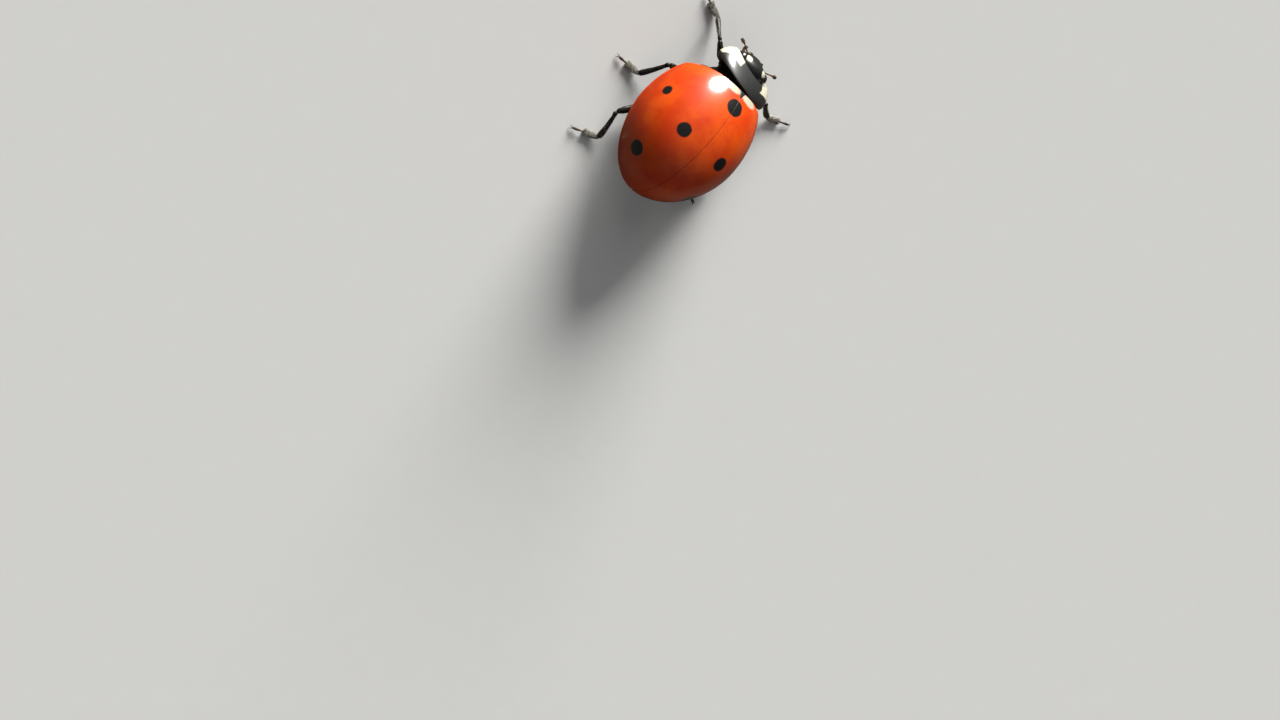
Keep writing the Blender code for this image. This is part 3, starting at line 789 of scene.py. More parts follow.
def hair_mesh(name, hairs):
    """One mesh of short three-sided bristles: (root, direction, droop, length, radius, place on map)."""
    verts, faces = [], []
    for root, lie, droop, length, radius, _ in hairs:
        side = lie.orthogonal().normalized()
        other = lie.cross(side)
        first = len(verts)
        middle, tip = (root + lie * length * along + droop * length * down
                       for along, down in (HAIR_MIDDLE, HAIR_TIP))
        for centre, width in ((root - lie * radius * 2, radius), (middle, radius * 0.7)):
            for corner in range(HAIR_SIDES):
                turn = corner * math.tau / HAIR_SIDES
                verts.append(centre + (side * math.cos(turn) + other * math.sin(turn)) * width)
        verts.append(tip)
        last = first + 2 * HAIR_SIDES
        for low in range(first, first + HAIR_SIDES):
            following = low + 1 if low + 1 < first + HAIR_SIDES else first
            faces.append((low, following, following + HAIR_SIDES, low + HAIR_SIDES))
            faces.append((low + HAIR_SIDES, following + HAIR_SIDES, last))
        faces.append((first + 2, first + 1, first))
    mesh = bpy.data.meshes.new(name)
    mesh.from_pydata(verts, [], faces)
    layer = mesh.uv_layers.new(name="OFBake")
    for polygon in mesh.polygons:
        u, v = hairs[polygon.index // HAIR_FACES][-1]
        for loop in polygon.loop_indices:
            turn = mesh.loops[loop].vertex_index % HAIR_VERTS * 0.9
            layer.data[loop].uv = (u + PATCH * math.cos(turn), v + PATCH * math.sin(turn))
    obj = bpy.data.objects.new(name, mesh)
    bpy.context.scene.collection.objects.link(obj)
    return obj


def limb_hairs(limb, tile, rng, count, length, radius, lean, reach, arc=(-math.pi, math.pi)):
    """Bristles over a part of a rod that lean toward its far end."""
    hairs = []
    for _ in range(count):
        t = between(*reach, rng.random())
        angle = rng.uniform(*arc)
        ahead = limb.axes(t)[0]
        scatter = Vector((rng.gauss(0, 0.12), rng.gauss(0, 0.12), rng.gauss(0, 0.12)))
        lie = (limb.normal(t, angle) * (1 - lean) + ahead * lean + scatter).normalized()
        root = limb.point(t, angle)
        long = length * rng.uniform(0.6, 1.0)
        fall = -HAIR_TIP[0] * lie.z - HAIR_TIP[1] * ahead.z
        if fall > 0:
            long = min(long, (root.z - CLEARANCE) / fall)
        if long >= SHORTEST:
            hairs.append((root, lie, ahead, long, radius, on_map(tile, t, angle)))
    return hairs


def hip_hairs(centre, radii, tile, rng, count, length, radius):
    """Bristles over the lower half of a hip joint, lying back."""
    hairs = []
    for _ in range(count):
        turn, low = rng.uniform(-math.pi, math.pi), rng.uniform(0.15, 0.95)
        round_it = math.sqrt(1 - low * low)
        way = Vector((round_it * math.cos(turn), round_it * math.sin(turn), -low))
        root = centre + Vector([HIP_SINK * half * part for half, part in zip(radii, way)])
        out = Vector([part / half for half, part in zip(radii, way)]).normalized()
        lie = (out * HIP_LEAN[0] + Vector((rng.gauss(0, 0.15), HIP_LEAN[1], 0))).normalized()
        hairs.append((root, lie, BACK, length * rng.uniform(0.6, 1.0), radius, on_map(tile, low, turn)))
    return hairs


def plate_hairs(rule, tile, rng, count, length, radius, start):
    """Bristles over the lower half of a plate of the underside, lying back."""
    hairs = []
    for _ in range(count):
        t = rng.uniform(start, 0.93)
        angle = rng.uniform(-math.pi * 0.97, -math.pi * 0.03)
        root = rule(t, angle)
        out = (rule(t + 0.01, angle) - root).cross(rule(t, angle + 0.02) - root).normalized()
        if out.z > 0:
            out.negate()
        scatter = Vector((rng.gauss(0, 0.1), 0, rng.gauss(0, 0.05)))
        lie = (out * (1 - PLATE_LEAN) + BACK * PLATE_LEAN + scatter).normalized()
        hairs.append((root, lie, BACK, length * rng.uniform(0.4, 0.7), radius, on_map(tile, t, angle)))
    return hairs


# ---- finishes ----

class Value:
    """A node's output that can be used in sums."""

    def __init__(self, nodes, socket):
        self.nodes, self.socket = nodes, socket

    def maths(self, operation, other, turned=False):
        pair = (other, self) if turned else (self, other)
        return self.nodes.node("ShaderNodeMath", {"operation": operation}, {0: pair[0], 1: pair[1]})

    def __add__(self, other):
        return self.maths("ADD", other)

    def __sub__(self, other):
        return self.maths("SUBTRACT", other)

    def __rsub__(self, other):
        return self.maths("SUBTRACT", other, True)

    def __mul__(self, other):
        return self.maths("MULTIPLY", other)

    def __truediv__(self, other):
        return self.maths("DIVIDE", other)

    def __pow__(self, other):
        return self.maths("POWER", other)

    def most(self, other):
        return self.maths("MAXIMUM", other)

    __radd__ = __add__


class Nodes:
    """A node tree: node() adds any node, and sums of values add their own."""

    def __init__(self, tree):
        self.tree = tree

    def node(self, kind, settings=None, sockets=None, out=0):
        node = self.tree.nodes.new(kind)
        for key, value in (settings or {}).items():
            setattr(node, key, value)
        for key, value in (sockets or {}).items():
            if isinstance(value, Value):
                self.tree.links.new(value.socket, node.inputs[key])
            else:
                node.inputs[key].default_value = value
        return Value(self, node.outputs[out])

    def mix(self, factor, first, second):
        """A colour between two, each a colour or a link."""
        first, second = (value if isinstance(value, Value) else (*value, 1) for value in (first, second))
        return self.node("ShaderNodeMix", {"data_type": "RGBA"}, {0: factor, 6: first, 7: second}, out=2)

    def step(self, value, start, end):
        """Zero before start, one after end, smooth between; start may be the greater."""
        low, high = (start, end) if start < end else (end, start)
        zero, one = (0.0, 1.0) if start < end else (1.0, 0.0)
        return self.node("ShaderNodeMapRange", {"interpolation_type": "SMOOTHSTEP"},
                         {"Value": value, "From Min": low, "From Max": high, "To Min": zero, "To Max": one})

    def spot(self, place, centre, stretch, radius, edge, wobble):
        """A soft-edged round mark: one inside, zero outside."""
        shifted = self.node("ShaderNodeVectorMath", {"operation": "SUBTRACT"}, {0: place, 1: centre})
        scaled = self.node("ShaderNodeVectorMath", {"operation": "MULTIPLY"}, {0: shifted, 1: stretch})
        away = self.node("ShaderNodeVectorMath", {"operation": "LENGTH"}, {0: scaled}, out="Value")
        return self.step(away + wobble, radius + edge, radius - edge)

    def spots(self, place, marks, edge, wobble):
        """Several marks in one, each given by its centre, stretch and radius."""
        whole = None
        for centre, stretch, radius in marks:
            mark = self.spot(place, centre, stretch, radius, edge, wobble)
            whole = mark if whole is None else whole.most(mark)
        return whole

    def noise(self, place, scale, detail=2.0, rough=0.5):
        return self.node("ShaderNodeTexNoise", {}, {"Vector": place, "Scale": scale, "Detail": detail,
                                                    "Roughness": rough}, out="Fac")

    def wobble(self, place, scale, detail, reach):
        """An uneven shift to either side of zero, for the edges of marks."""
        return (self.noise(place, scale, detail) - 0.5) * reach

    def cells(self, place, scale, **more):
        """Distance from the middle of each of many cells."""
        return self.node("ShaderNodeTexVoronoi", {"feature": "F1"}, {"Vector": place, "Scale": scale, **more},
                         out="Distance")

    def apart(self, place, axis):
        """One coordinate of a place."""
        return self.node("ShaderNodeSeparateXYZ", {}, {0: place}, out=axis)

    def size_of(self, value):
        return self.node("ShaderNodeMath", {"operation": "ABSOLUTE"}, {0: value})


class Finish(Nodes):
    """A material: constants go on the shader's own sockets, the rest through feed()."""

    def __init__(self, name, **constants):
        self.material = bpy.data.materials.new(name)
        self.material.use_nodes = True
        super().__init__(self.material.node_tree)
        self.shader = self.tree.nodes["Principled BSDF"]
        for socket, value in constants.items():
            self.shader.inputs[socket.replace("_", " ")].default_value = value

    def feed(self, socket, value):
        self.tree.links.new(value.socket, self.shader.inputs[socket])

    def place(self):
        """Millimetres in the body's own frame."""
        coords = self.node("ShaderNodeTexCoord", out="Object")
        return self.node("ShaderNodeMapping", {}, {"Vector": coords, "Location": tuple(-BODY / MM),
                                                   "Scale": (1 / MM,) * 3})

    def relief(self, height, depth):
        """Height in 0..1, depth in millimetres."""
        self.feed("Normal", self.node("ShaderNodeBump", {}, {"Height": height, "Strength": 1.0,
                                                             "Distance": depth * MM}, out="Normal"))

    def horn(self, place, pits, grain, depth, rough):
        """Fine pits (scale, width, strength) and grain (scale, strength), how deep they are in
        millimetres, and a roughness (least, scale of its clouds, spread)."""
        dimples = self.step(self.cells(place, pits[0]), pits[1], 0.0)
        self.relief(1 - dimples * pits[2] + self.noise(place, grain[0]) * grain[1], depth)
        self.feed("Roughness", rough[0] + self.noise(place, rough[1]) * rough[2])


def scaled(tint, share):
    return tuple(share * channel for channel in tint)


def blended(first, second, share):
    return tuple(between(a, b, share) for a, b in zip(first, second))


def either_side(x, y, z):
    return [(sign * x, y, z) for sign in SIDES.values()]


# Marks of the wing cases: places in plan, stretch, and how softly their edges fade.
BAND_AT, BAND_STRETCH, BAND_RADIUS, BAND_FADE = (0.55, -2.19), (0.62, 1.75, 0.8), 0.29, 0.06
SHARED_SPOT_AT, SHARED_SPOT_STRETCH = (0, -1.55), (1.0, 1.12, 0.9)
SPOTS_AT = {"spot_b": (2.47, -0.13), "spot_c": (1.19, 0.70), "spot_d": (1.76, 2.63)}
SPOT_FADE = 0.035
SEAM_LINE, SEAM_DARKNESS = (0.014, 0.005), 0.75
ROUND = (1, 1, 1)


def shell_finish():
    """Red with seven black spots, pale bands at the base and a dark line along the seam."""
    shell = bpy.context.scene.ladybird_shell
    paint = Finish("wing_case_red", Coat_Roughness=0.17, Coat_IOR=1.5, Specular_IOR_Level=0.30)
    place = paint.place()
    clouds = paint.step(paint.noise(place, 0.9, 3.0), 0.35, 0.65)
    flecks = paint.step(paint.noise(place, 16.0, 4.0, 0.6), 0.40, 0.80)
    tint = paint.mix(clouds, shell.red, shell.orange)
    tint = paint.mix(flecks * 0.45, tint, scaled(shell.red, 0.72))
    wobble = paint.wobble(place, 3.5, 1.0, 0.06)
    bands = [(centre, BAND_STRETCH, BAND_RADIUS) for centre in either_side(*on_dome(*BAND_AT))]
    tint = paint.mix(paint.spots(place, bands, BAND_FADE, wobble * 1.5), tint, shell.pale)
    marks = [(on_dome(*SHARED_SPOT_AT), SHARED_SPOT_STRETCH, shell.spot_a)]
    for key, spot_at in SPOTS_AT.items():
        marks += [(centre, ROUND, getattr(shell, key)) for centre in either_side(*on_dome(*spot_at))]
    seam = paint.step(paint.size_of(paint.apart(place, 0)), *SEAM_LINE)
    dark = paint.spots(place, marks, SPOT_FADE, wobble).most(seam * SEAM_DARKNESS)
    paint.feed("Base Color", paint.mix(dark, tint, shell.black))
    paint.horn(place, pits=(19.0, 0.30, 0.8), grain=(60.0, 0.12), depth=0.0022, rough=(0.36, 8.0, 0.14))
    paint.feed("Coat Weight", 1 - seam)
    return paint.material


# Pale corners of the pronotum, in parts of the way from its middle to its side and of the way forward.
CORNER_INNER = (0.375, 0.41)    # where a corner starts
CORNER_SLANT = 0.14             # its inner edge runs this much outward to the rear
CORNER_REAR, CORNER_REAR_SIDE = 0.62, 0.27      # its rear edge at the inner end, and along the side
CORNER_TURN, CORNER_RUN, CORNER_FALL = 0.42, 0.36, 0.24     # where that edge turns back, over what run
CORNER_FADE = (-0.02, 0.025)


def pronotum_finish():
    """Black with a pale patch at each front corner that narrows along the side."""
    shell = bpy.context.scene.ladybird_shell
    paint = Finish("pronotum_pied", Coat_Weight=0.8, Coat_Roughness=0.17, Specular_IOR_Level=0.85)
    place = paint.place()
    grid = paint.node("ShaderNodeUVMap", {"uv_map": "UVMap"})
    side = paint.size_of(paint.apart(grid, 0) - 0.5) * (2 / PRONOTUM_SHARE)
    forward = paint.apart(grid, 1)
    wobble = paint.wobble(place, 3.0, 1.0, 0.08)
    outward = (side - CORNER_TURN).most(0.0) / CORNER_RUN
    rear = (CORNER_REAR - outward ** 3 * CORNER_FALL).most(CORNER_REAR_SIDE)
    inner = paint.step(side + wobble + (1 - forward) * CORNER_SLANT, *CORNER_INNER)
    ahead = paint.step(forward - rear + wobble, *CORNER_FADE)
    paint.feed("Base Color", paint.mix(inner * ahead, shell.black, shell.cream))
    paint.horn(place, pits=(15.0, 0.24, 0.8), grain=(70.0, 0.15), depth=0.0035, rough=(0.42, 9.0, 0.14))
    return paint.material


def clouded_black(paint, place):
    black = bpy.context.scene.ladybird_shell.black
    return paint.mix(paint.noise(place, 7.0, 3.0), black, scaled(black, 2.2))


def plate_finish():
    """Plain black horn with fine pits."""
    paint = Finish("black_horn", Coat_Weight=0.6, Coat_Roughness=0.15)
    place = paint.place()
    paint.feed("Base Color", clouded_black(paint, place))
    paint.horn(place, pits=(18.0, 0.3, 0.8), grain=(70.0, 0.2), depth=0.003, rough=(0.38, 9.0, 0.14))
    return paint.material


# Pale marks beside the eyes and under the shoulders: place, stretch and radius.
EYE_MARK = (0.50, -3.58, 2.08), (1, 1, 0.8), 0.16
SHOULDER_MARK = (1.72, -1.62, 1.18), (0.9, 1.0, 1.0), 0.36


def head_finish():
    """Black with a pale spot beside each eye."""
    paint = Finish("head_pied", Coat_Weight=0.6, Coat_Roughness=0.14)
    place = paint.place()
    centre, stretch, radius = EYE_MARK
    marks = [(tuple(HEAD @ Vector(mark)), stretch, radius) for mark in either_side(*centre)]
    pale = paint.spots(place, marks, 0.03, paint.wobble(place, 4.0, 1.0, 0.06))
    cream = bpy.context.scene.ladybird_shell.cream
    paint.feed("Base Color", paint.mix(pale, clouded_black(paint, place), cream))
    paint.horn(place, pits=(18.0, 0.3, 0.8), grain=(70.0, 0.2), depth=0.004, rough=(0.36, 9.0, 0.14))
    return paint.material


def underside_finish():
    """Black and brown, with a pale mark under each shoulder."""
    body = bpy.context.scene.ladybird_body
    paint = Finish("underside_horn", Coat_Weight=0.35, Coat_Roughness=0.2)
    place = paint.place()
    centre, stretch, radius = SHOULDER_MARK
    marks = [(mark, stretch, radius) for mark in either_side(*centre)]
    pale = paint.spots(place, marks, 0.05, paint.wobble(place, 5.0, 3.0, 0.10))
    clouds = paint.step(paint.noise(place, 2.0, 3.0), 0.45, 0.75)
    dark = paint.mix(clouds, body.black, blended(body.black, body.brown, 0.4))
    paint.feed("Base Color", paint.mix(pale, dark, bpy.context.scene.ladybird_shell.cream))
    paint.horn(place, pits=(11.0, 0.34, 0.8), grain=(40.0, 0.3), depth=0.006, rough=(0.36, 9.0, 0.2))
    return paint.material


def limb_finish(name, tint, second, gloss):
    """Horn of a leg or feeler, clouded between two colours."""
    paint = Finish(name, Coat_Weight=0.2, Coat_Roughness=0.2, Specular_IOR_Level=0.25)
    place = paint.place()
    paint.feed("Base Color", paint.mix(paint.step(paint.noise(place, 3.0, 3.0), 0.4, 0.7), tint, second))
    paint.horn(place, pits=(24.0, 0.3, 0.7), grain=(90.0, 0.3), depth=0.003, rough=(gloss, 12.0, 0.15))
    return paint.material


def eye_finish():
    """Hundreds of small lenses."""
    paint = Finish("eye_lenses", Coat_Weight=0.8, Coat_Roughness=0.12, Roughness=0.3)
    lens = paint.cells(paint.place(), 42.0, Randomness=0.12)
    middle, rim = (0.006, 0.006, 0.007), (0.016, 0.012, 0.010)
    paint.feed("Base Color", paint.mix(paint.step(lens, 0.25, 0.6), middle, rim))
    paint.relief(1 - lens * lens * 1.6, 0.003)
    return paint.material


def hair_finish(name, tint):
    """Short hairs, a little darker in places."""
    paint = Finish(name, Roughness=0.45, Specular_IOR_Level=0.3)
    paint.feed("Base Color", paint.mix(paint.noise(paint.place(), 6.0, 2.0), scaled(tint, 0.62), tint))
    return paint.material


def floor_finish():
    """Pale to the eye, and dimmer as a light on the beetle."""
    stage = bpy.context.scene.ladybird_stage
    paint = Finish("floor_pale", Roughness=0.8, Specular_IOR_Level=0.1)
    coords = paint.node("ShaderNodeTexCoord", out="Object")
    pale = paint.mix(paint.noise(coords, 900.0, 3.0), scaled(stage.floor, 0.97), stage.floor)
    seen = paint.node("ShaderNodeLightPath", out="Is Camera Ray")
    paint.feed("Base Color", paint.mix(seen, stage.bounce, pale))
    return paint.material


def finish_named(name, make, *values):
    """A finish that several pieces share, made once."""
    return bpy.data.materials.get(name) or make(*values)


def black_horn():
    return finish_named("black_horn", plate_finish)


def horn(kind):
    """Shared finishes of the legs and feelers."""
    body = bpy.context.scene.ladybird_body
    black, brown = tuple(body.black), tuple(body.brown)
    middle = blended(black, brown, 0.5)
    choices = {"leg_horn": (black, middle, 0.30), "foot_horn": (middle, brown, 0.40),
               "feeler_horn": (brown, scaled(brown, 1.8), 0.36)}
    return finish_named(kind, limb_finish, kind, *choices[kind])


# ---- operators ----

# Each light: azimuth and elevation it comes from and its width in the sky, in degrees, its tint, and
# whether the beetle mirrors it.
LIGHTS = {"key": (17, 13, 30, (1.0, 0.985, 0.955), True),
          "soft": (25, 30, 60, (0.98, 0.99, 1.0), False),
          "fill": (215, 32, 70, (1.0, 0.99, 0.97), False)}
SKY_TINT = (0.90, 0.95, 1.0)
SKY_RISE = (0.25, 0.95)         # heights between which the sky grows bright, from 0 level to 1 overhead
AIM = (0, 0.35, 2.2)            # the camera's distance is taken from this place in the body
CLIP = (0.005, 5)               # nearest and farthest that the camera sees, in metres
FLOOR_RADIUS = 0.9


def direction(azimuth, elevation):
    """Toward an azimuth from -Y round to +X, and an elevation, in degrees."""
    a, e = math.radians(azimuth), math.radians(elevation)
    return Vector((math.sin(a) * math.cos(e), -math.cos(a) * math.cos(e), math.sin(e)))


class LADYBIRD_OT_stage(bpy.types.Operator):
    """Make the floor, the sky, the lights and the camera"""
    bl_idname = "ladybird.stage"
    bl_label = "Stage"

    def execute(self, context):
        stage = context.scene.ladybird_stage
        self.add_floor()
        self.add_sky(context.scene, stage)
        self.add_camera(context.scene, stage)
        for name, (azimuth, elevation, width, tint, mirrored_too) in LIGHTS.items():
            light = self.add_sun(name, azimuth, elevation, width, getattr(stage, name + "_power"), tint)
            light.visible_glossy = mirrored_too
        context.scene.view_settings.view_transform = "Standard"
        return {"FINISHED"}

    @staticmethod
    def add_floor():
        bpy.ops.object.select_all(action="DESELECT")
        bpy.ops.mesh.primitive_circle_add(vertices=96, radius=FLOOR_RADIUS, fill_type="NGON")
        floor = bpy.context.object
        floor.name = "floor"
        floor.data.materials.append(floor_finish())

    @staticmethod
    def add_sky(scene, stage):
        """Brightest overhead; the camera sees an even tone beyond the floor."""
        scene.world = bpy.data.worlds.new("sky")
        scene.world.use_nodes = True
        sky = Nodes(scene.world.node_tree)
        toward = sky.node("ShaderNodeTexCoord", out="Generated")
        height = sky.node("ShaderNodeSeparateXYZ", {}, {0: toward}, out=2)
        glow = stage.horizon + sky.step(height, *SKY_RISE) * (stage.overhead - stage.horizon)
        light = sky.node("ShaderNodeBackground", {}, {"Color": (*SKY_TINT, 1), "Strength": glow})
        seen = sky.node("ShaderNodeBackground", {}, {"Color": (*stage.backdrop, 1)})
        from_camera = sky.node("ShaderNodeLightPath", out="Is Camera Ray")
        both = sky.node("ShaderNodeMixShader", {}, {0: from_camera, 1: light, 2: seen})
        sky.tree.links.new(both.socket, sky.tree.nodes["World Output"].inputs["Surface"])

    @staticmethod
    def add_camera(scene, stage):
        back = direction(math.degrees(stage.azimuth), math.degrees(stage.elevation))
        right = Vector((0, 0, 1)).cross(back).normalized()
        level = Matrix((right, back.cross(right), back)).transposed()
        aim = Vector((stage.aside, stage.above, -1)).rotation_difference(Vector((0, 0, -1))).to_matrix()
        data = bpy.data.cameras.new("camera")
        data.lens = stage.lens
        data.sensor_width = 36
        data.clip_start, data.clip_end = CLIP
        camera = bpy.data.objects.new("camera", data)
        scene.collection.objects.link(camera)
        camera.rotation_euler = (level @ Matrix.Rotation(stage.roll, 3, "Z") @ aim).to_euler()
        camera.location = to_row(AIM) + back * stage.distance
        scene.camera = camera

    @staticmethod
    def add_sun(name, azimuth, elevation, width, strength, tint):
        data = bpy.data.lights.new(name, "SUN")
        data.angle = math.radians(width)
        data.energy = strength
        data.color = tint
        light = bpy.data.objects.new(name, data)
        bpy.context.scene.collection.objects.link(light)
        light.rotation_euler = direction(azimuth, elevation).to_track_quat("Z", "Y").to_euler()
        return light


class LADYBIRD_OT_wing_cases(bpy.types.Operator):
    """Model the two domed wing cases with their folded edges"""
    bl_idname = "ladybird.wing_cases"
    bl_label = "Wing cases"

    def execute(self, context):
        finish = shell_finish()
        shell = context.scene.ladybird_shell
        case = sheet(64, 52, wing_case_point)
        thicken(case, shell.wall, levels=1, crisp=0.9)
        for vert in case.data.vertices:
            vert.co.x = max(vert.co.x, shell.seam)
        other = mirrored(case)
        settle(case, "wing_case_left", finish, ["elytron_left"])
        settle(other, "wing_case_right", finish, ["elytron_right"])
        return {"FINISHED"}


class LADYBIRD_OT_scutellum(bpy.types.Operator):
    """Model the small triangle between the wing cases"""
    bl_idname = "ladybird.scutellum"
    bl_label = "Scutellum"

    def execute(self, context):
        obj = sheet(12, 12, scutellum_point)
        thicken(obj, SCUTELLUM_WALL, levels=1)
        settle(obj, "scutellum_plate", black_horn(), ["scutellum"])
        return {"FINISHED"}


class LADYBIRD_OT_pronotum(bpy.types.Operator):
    """Model the shield over the front of the body"""
    bl_idname = "ladybird.pronotum"
    bl_label = "Pronotum"

    def execute(self, context):
        obj = sheet(44, 16, pronotum_point)
        thicken(obj, context.scene.ladybird_shell.plate, levels=2)
        settle(obj, "pronotum_plate", pronotum_finish(), ["pronotum"], NECK)
        return {"FINISHED"}


class LADYBIRD_OT_underside(bpy.types.Operator):
    """Model the breast plates and the ringed abdomen"""
    bl_idname = "ladybird.underside"
    bl_label = "Underside"

    def execute(self, context):
        finish = underside_finish()
        for name, node, sides, rings, rule, turn in (
                ("abdomen_plates", "abdomen", 64, 72, abdomen_rule, None),
                ("thorax_plates", "thorax", 72, 84, thorax_rule, None),
                ("prosternum_plate", "prosternum", 48, 32, prosternum_rule, NECK)):
            settle(closed_form(sides, rings, rule), name, finish, [node], turn)
        return {"FINISHED"}


HEAD_CENTRE, HEAD_RADII = (0, -3.33, 1.72), (0.81, 0.52, 0.62)
EYE_CENTRE, EYE_RADII = (0.70, -3.40, 1.78), (0.25, 0.29, 0.33)

# What is pushed on the head and an eye: the place, how wide a ball moves, how far, and the reach of
# the drawing along.
MUZZLE = ((0, -3.83, 1.55), 0.22, (0, -0.07, -0.06), 0.42)
BROW = ((0, -3.78, 2.02), 0.20, (0, 0.035, 0), 0.40)
FEELER_PIT = ((0.50, -3.72, 1.66), 0.09, (-0.03, 0.09, 0), 0.12)
CHEEK = ((0.40, -3.72, 1.24), 0.12, (0.03, -0.06, -0.02), 0.22)
EYE_RIDGE = ((0.60, -3.60, 2.02), 0.10, (0, -0.03, 0.03), 0.16)
EYE_NOTCH = ((0.58, -3.66, 1.74), 0.08, (0.02, 0.07, 0), 0.13)

# Bars across the face: middle, half length, how far the middle stands forward, half height, half
# thickness and lean.
CLYPEUS = ((0, -3.807, 1.43), 0.37, 0.067, 0.090, 0.055, 0.45)
LIP = ((0, -3.83, 1.31), 0.25, 0.06, 0.085, 0.040, 0.25)
CHIN = ((0, -3.70, 1.06), 0.20, 0.06, 0.08, 0.05, 1.2)


class LADYBIRD_OT_head(bpy.types.Operator):
    """Model the head, its eyes and its mouthparts"""
    bl_idname = "ladybird.head"
    bl_label = "Head"

    def execute(self, context):
        settle(self.skull(), "head_capsule", head_finish(), ["head"], HEAD)
        self.add_eyes()
        self.add_face()
        self.add_mouth()
        return {"FINISHED"}

    @staticmethod
    def skull():
        """A broad ball with a flat brow, a short muzzle and a pit for each feeler."""
        obj = ball(HEAD_CENTRE, HEAD_RADII, 56, 36)
        push(obj, *MUZZLE)
        push(obj, *BROW)
        for sign in SIDES.values():
            for centre, radius, by, reach in (FEELER_PIT, CHEEK, EYE_RIDGE):
                push(obj, (sign * centre[0], *centre[1:]), radius, (sign * by[0], *by[1:]), reach)
        return smoothed(close_up(obj))

    @staticmethod
    def add_eyes():
        """Each eye is an egg with a notch in front."""
        left = ball(EYE_CENTRE, EYE_RADII, 40, 28)
        push(left, *EYE_NOTCH)
        smoothed(close_up(left))
        right = mirrored(left)
        finish = eye_finish()
        settle(left, "eye_lens_left", finish, ["eye_left"], HEAD)
        settle(right, "eye_lens_right", finish, ["eye_right"], HEAD)

    @staticmethod
    def bar(middle, half, forward, height, thick, lean):
        ends = through((0, 0.55), (0.5, 1), (1, 0.55), scale=height)
        start = Vector(middle) + Vector((-half, forward, 0))
        place = placed(start, Vector((1, 0, 0)), Vector((0, -math.cos(lean), -math.sin(lean))))
        spine = ((0, 0), (forward * 2.0, half * 0.5), (forward * 2.0, half * 1.5), (0, half * 2))
        return Rod(spine, ends, steady(thick), place, 0.10).made(20, 30)

    def add_face(self):
        """Clypeus, and the spur of horn that runs into each eye."""
        place = placed(Vector((0.50, -3.74, 1.72)), Vector((0.20, 0.09, 0.02)), Vector((0, -1, 0)))
        taper = through((0, 0.05), (1, 0.022))
        spur = Rod(((0, 0), (0.04, 0.10), (0, 0.22)), taper, steady(0.03), place).made(14, 14)
        face = joined([self.bar(*CLYPEUS), spur, mirrored(spur)])
        settle(face, "face_plates", black_horn(), turn=HEAD)

    def add_mouth(self):
        """Upper lip, chin, a pair of jaws and the small feelers of the lower lip."""
        lip, chin, jaw = self.bar(*LIP), self.bar(*CHIN), self.jaw()
        feelers = [self.lip_feeler(sign) for sign in SIDES.values()]
        mouth = joined([lip, chin, jaw, mirrored(jaw), *feelers])
        settle(mouth, "jaws_and_lip", horn("foot_horn"), ["mouthparts"], HEAD)

    @staticmethod
    def jaw():
        place = placed(Vector((0.27, -3.66, 1.20)), Vector((-0.45, -0.75, -0.18)), Vector((0.9, -0.4, 0)))
        return Rod(((0, 0), (0.16, 0.10), (0.10, 0.26), (-0.02, 0.33)),
                   through((0, 0.09), (0.5, 0.07), (1, 0.018)), through((0, 0.10), (0.6, 0.07), (1, 0.016)),
                   place).made(18, 24)

    @staticmethod
    def lip_feeler(sign):
        place = placed(Vector((sign * 0.12, -3.74, 1.02)), Vector((sign * 0.25, -1, -0.15)),
                       Vector((0, 0, -1)))
        beads = through((0, 0.028), (0.45, 0.034), (0.52, 0.022), (0.9, 0.034), (1, 0.024))
        return Rod(((0, 0), (0.03, 0.08), (0, 0.18)), beads, steady(0.026), place).made(12, 20)


class LADYBIRD_OT_feelers(bpy.types.Operator):
    """Model the clubbed feelers and the palps with their broad last joints"""
    bl_idname = "ladybird.feelers"
    bl_label = "Feelers"

    # Length and breadth of each joint, from the root.
    JOINTS = ((0.16, 1.9), (0.10, 1.5), (0.11, 1.0), (0.08, 1.0), (0.08, 1.0), (0.07, 1.05), (0.07, 1.1),
              (0.07, 1.25), (0.09, 2.1), (0.09, 2.6), (0.10, 2.2))
    FLATNESS = 0.85
    # Half breadth and half depth of a palp along its three joints.
    PALP_BREADTH = ((0, 0.05), (0.11, 0.072), (0.21, 0.052), (0.34, 0.080), (0.46, 0.056), (0.58, 0.075),
                    (0.90, 0.150), (1, 0.135))
    PALP_DEPTH = ((0, 0.05), (0.11, 0.068), (0.21, 0.050), (0.34, 0.074), (0.46, 0.052), (0.75, 0.072),
                  (1, 0.055))

    def beaded(self, t):
        """Half width along the feeler, with a waist between each two joints."""
        radius = bpy.context.scene.ladybird_body.feeler_radius
        place = t * sum(length for length, _ in self.JOINTS)
        for length, breadth in self.JOINTS:
            if place <= length:
                return radius * breadth * (0.58 + 0.42 * math.sin(math.pi * place / length) ** 0.6)
            place -= length
        return radius

    def feeler(self):
        root, tip = Vector((0.43, -3.60, 1.66)), Vector((1.24, -3.96, 1.58))
        spine = ((0, 0), (0.22, 0.36), (0.17, 0.66), (0, (tip - root).length))
        return Rod(spine, self.beaded, lambda t: self.beaded(t) * self.FLATNESS,
                   placed(root, tip - root, Vector((0.1, -0.15, 0.6))), 0.02).made(18, 150)

    def palp(self):
        root, tip = Vector((0.42, -3.50, 1.14)), Vector((0.56, -3.98, 0.95))
        spine = ((0, 0), (0.12, 0.18), (0.06, 0.40), (-0.02, (tip - root).length))
        return Rod(spine, through(*self.PALP_BREADTH), through(*self.PALP_DEPTH),
                   placed(root, tip - root, Vector((1, 0.2, 0.1))), 0.09).made(20, 60)

    def execute(self, context):
        for left, name, node in ((self.feeler(), "feeler_", "antenna_"), (self.palp(), "palp_arm_", "palp_")):
            for piece, side in zip((left, mirrored(left)), SIDES):
                settle(piece, name + side, horn("feeler_horn"), [node + side], HEAD)
        return {"FINISHED"}


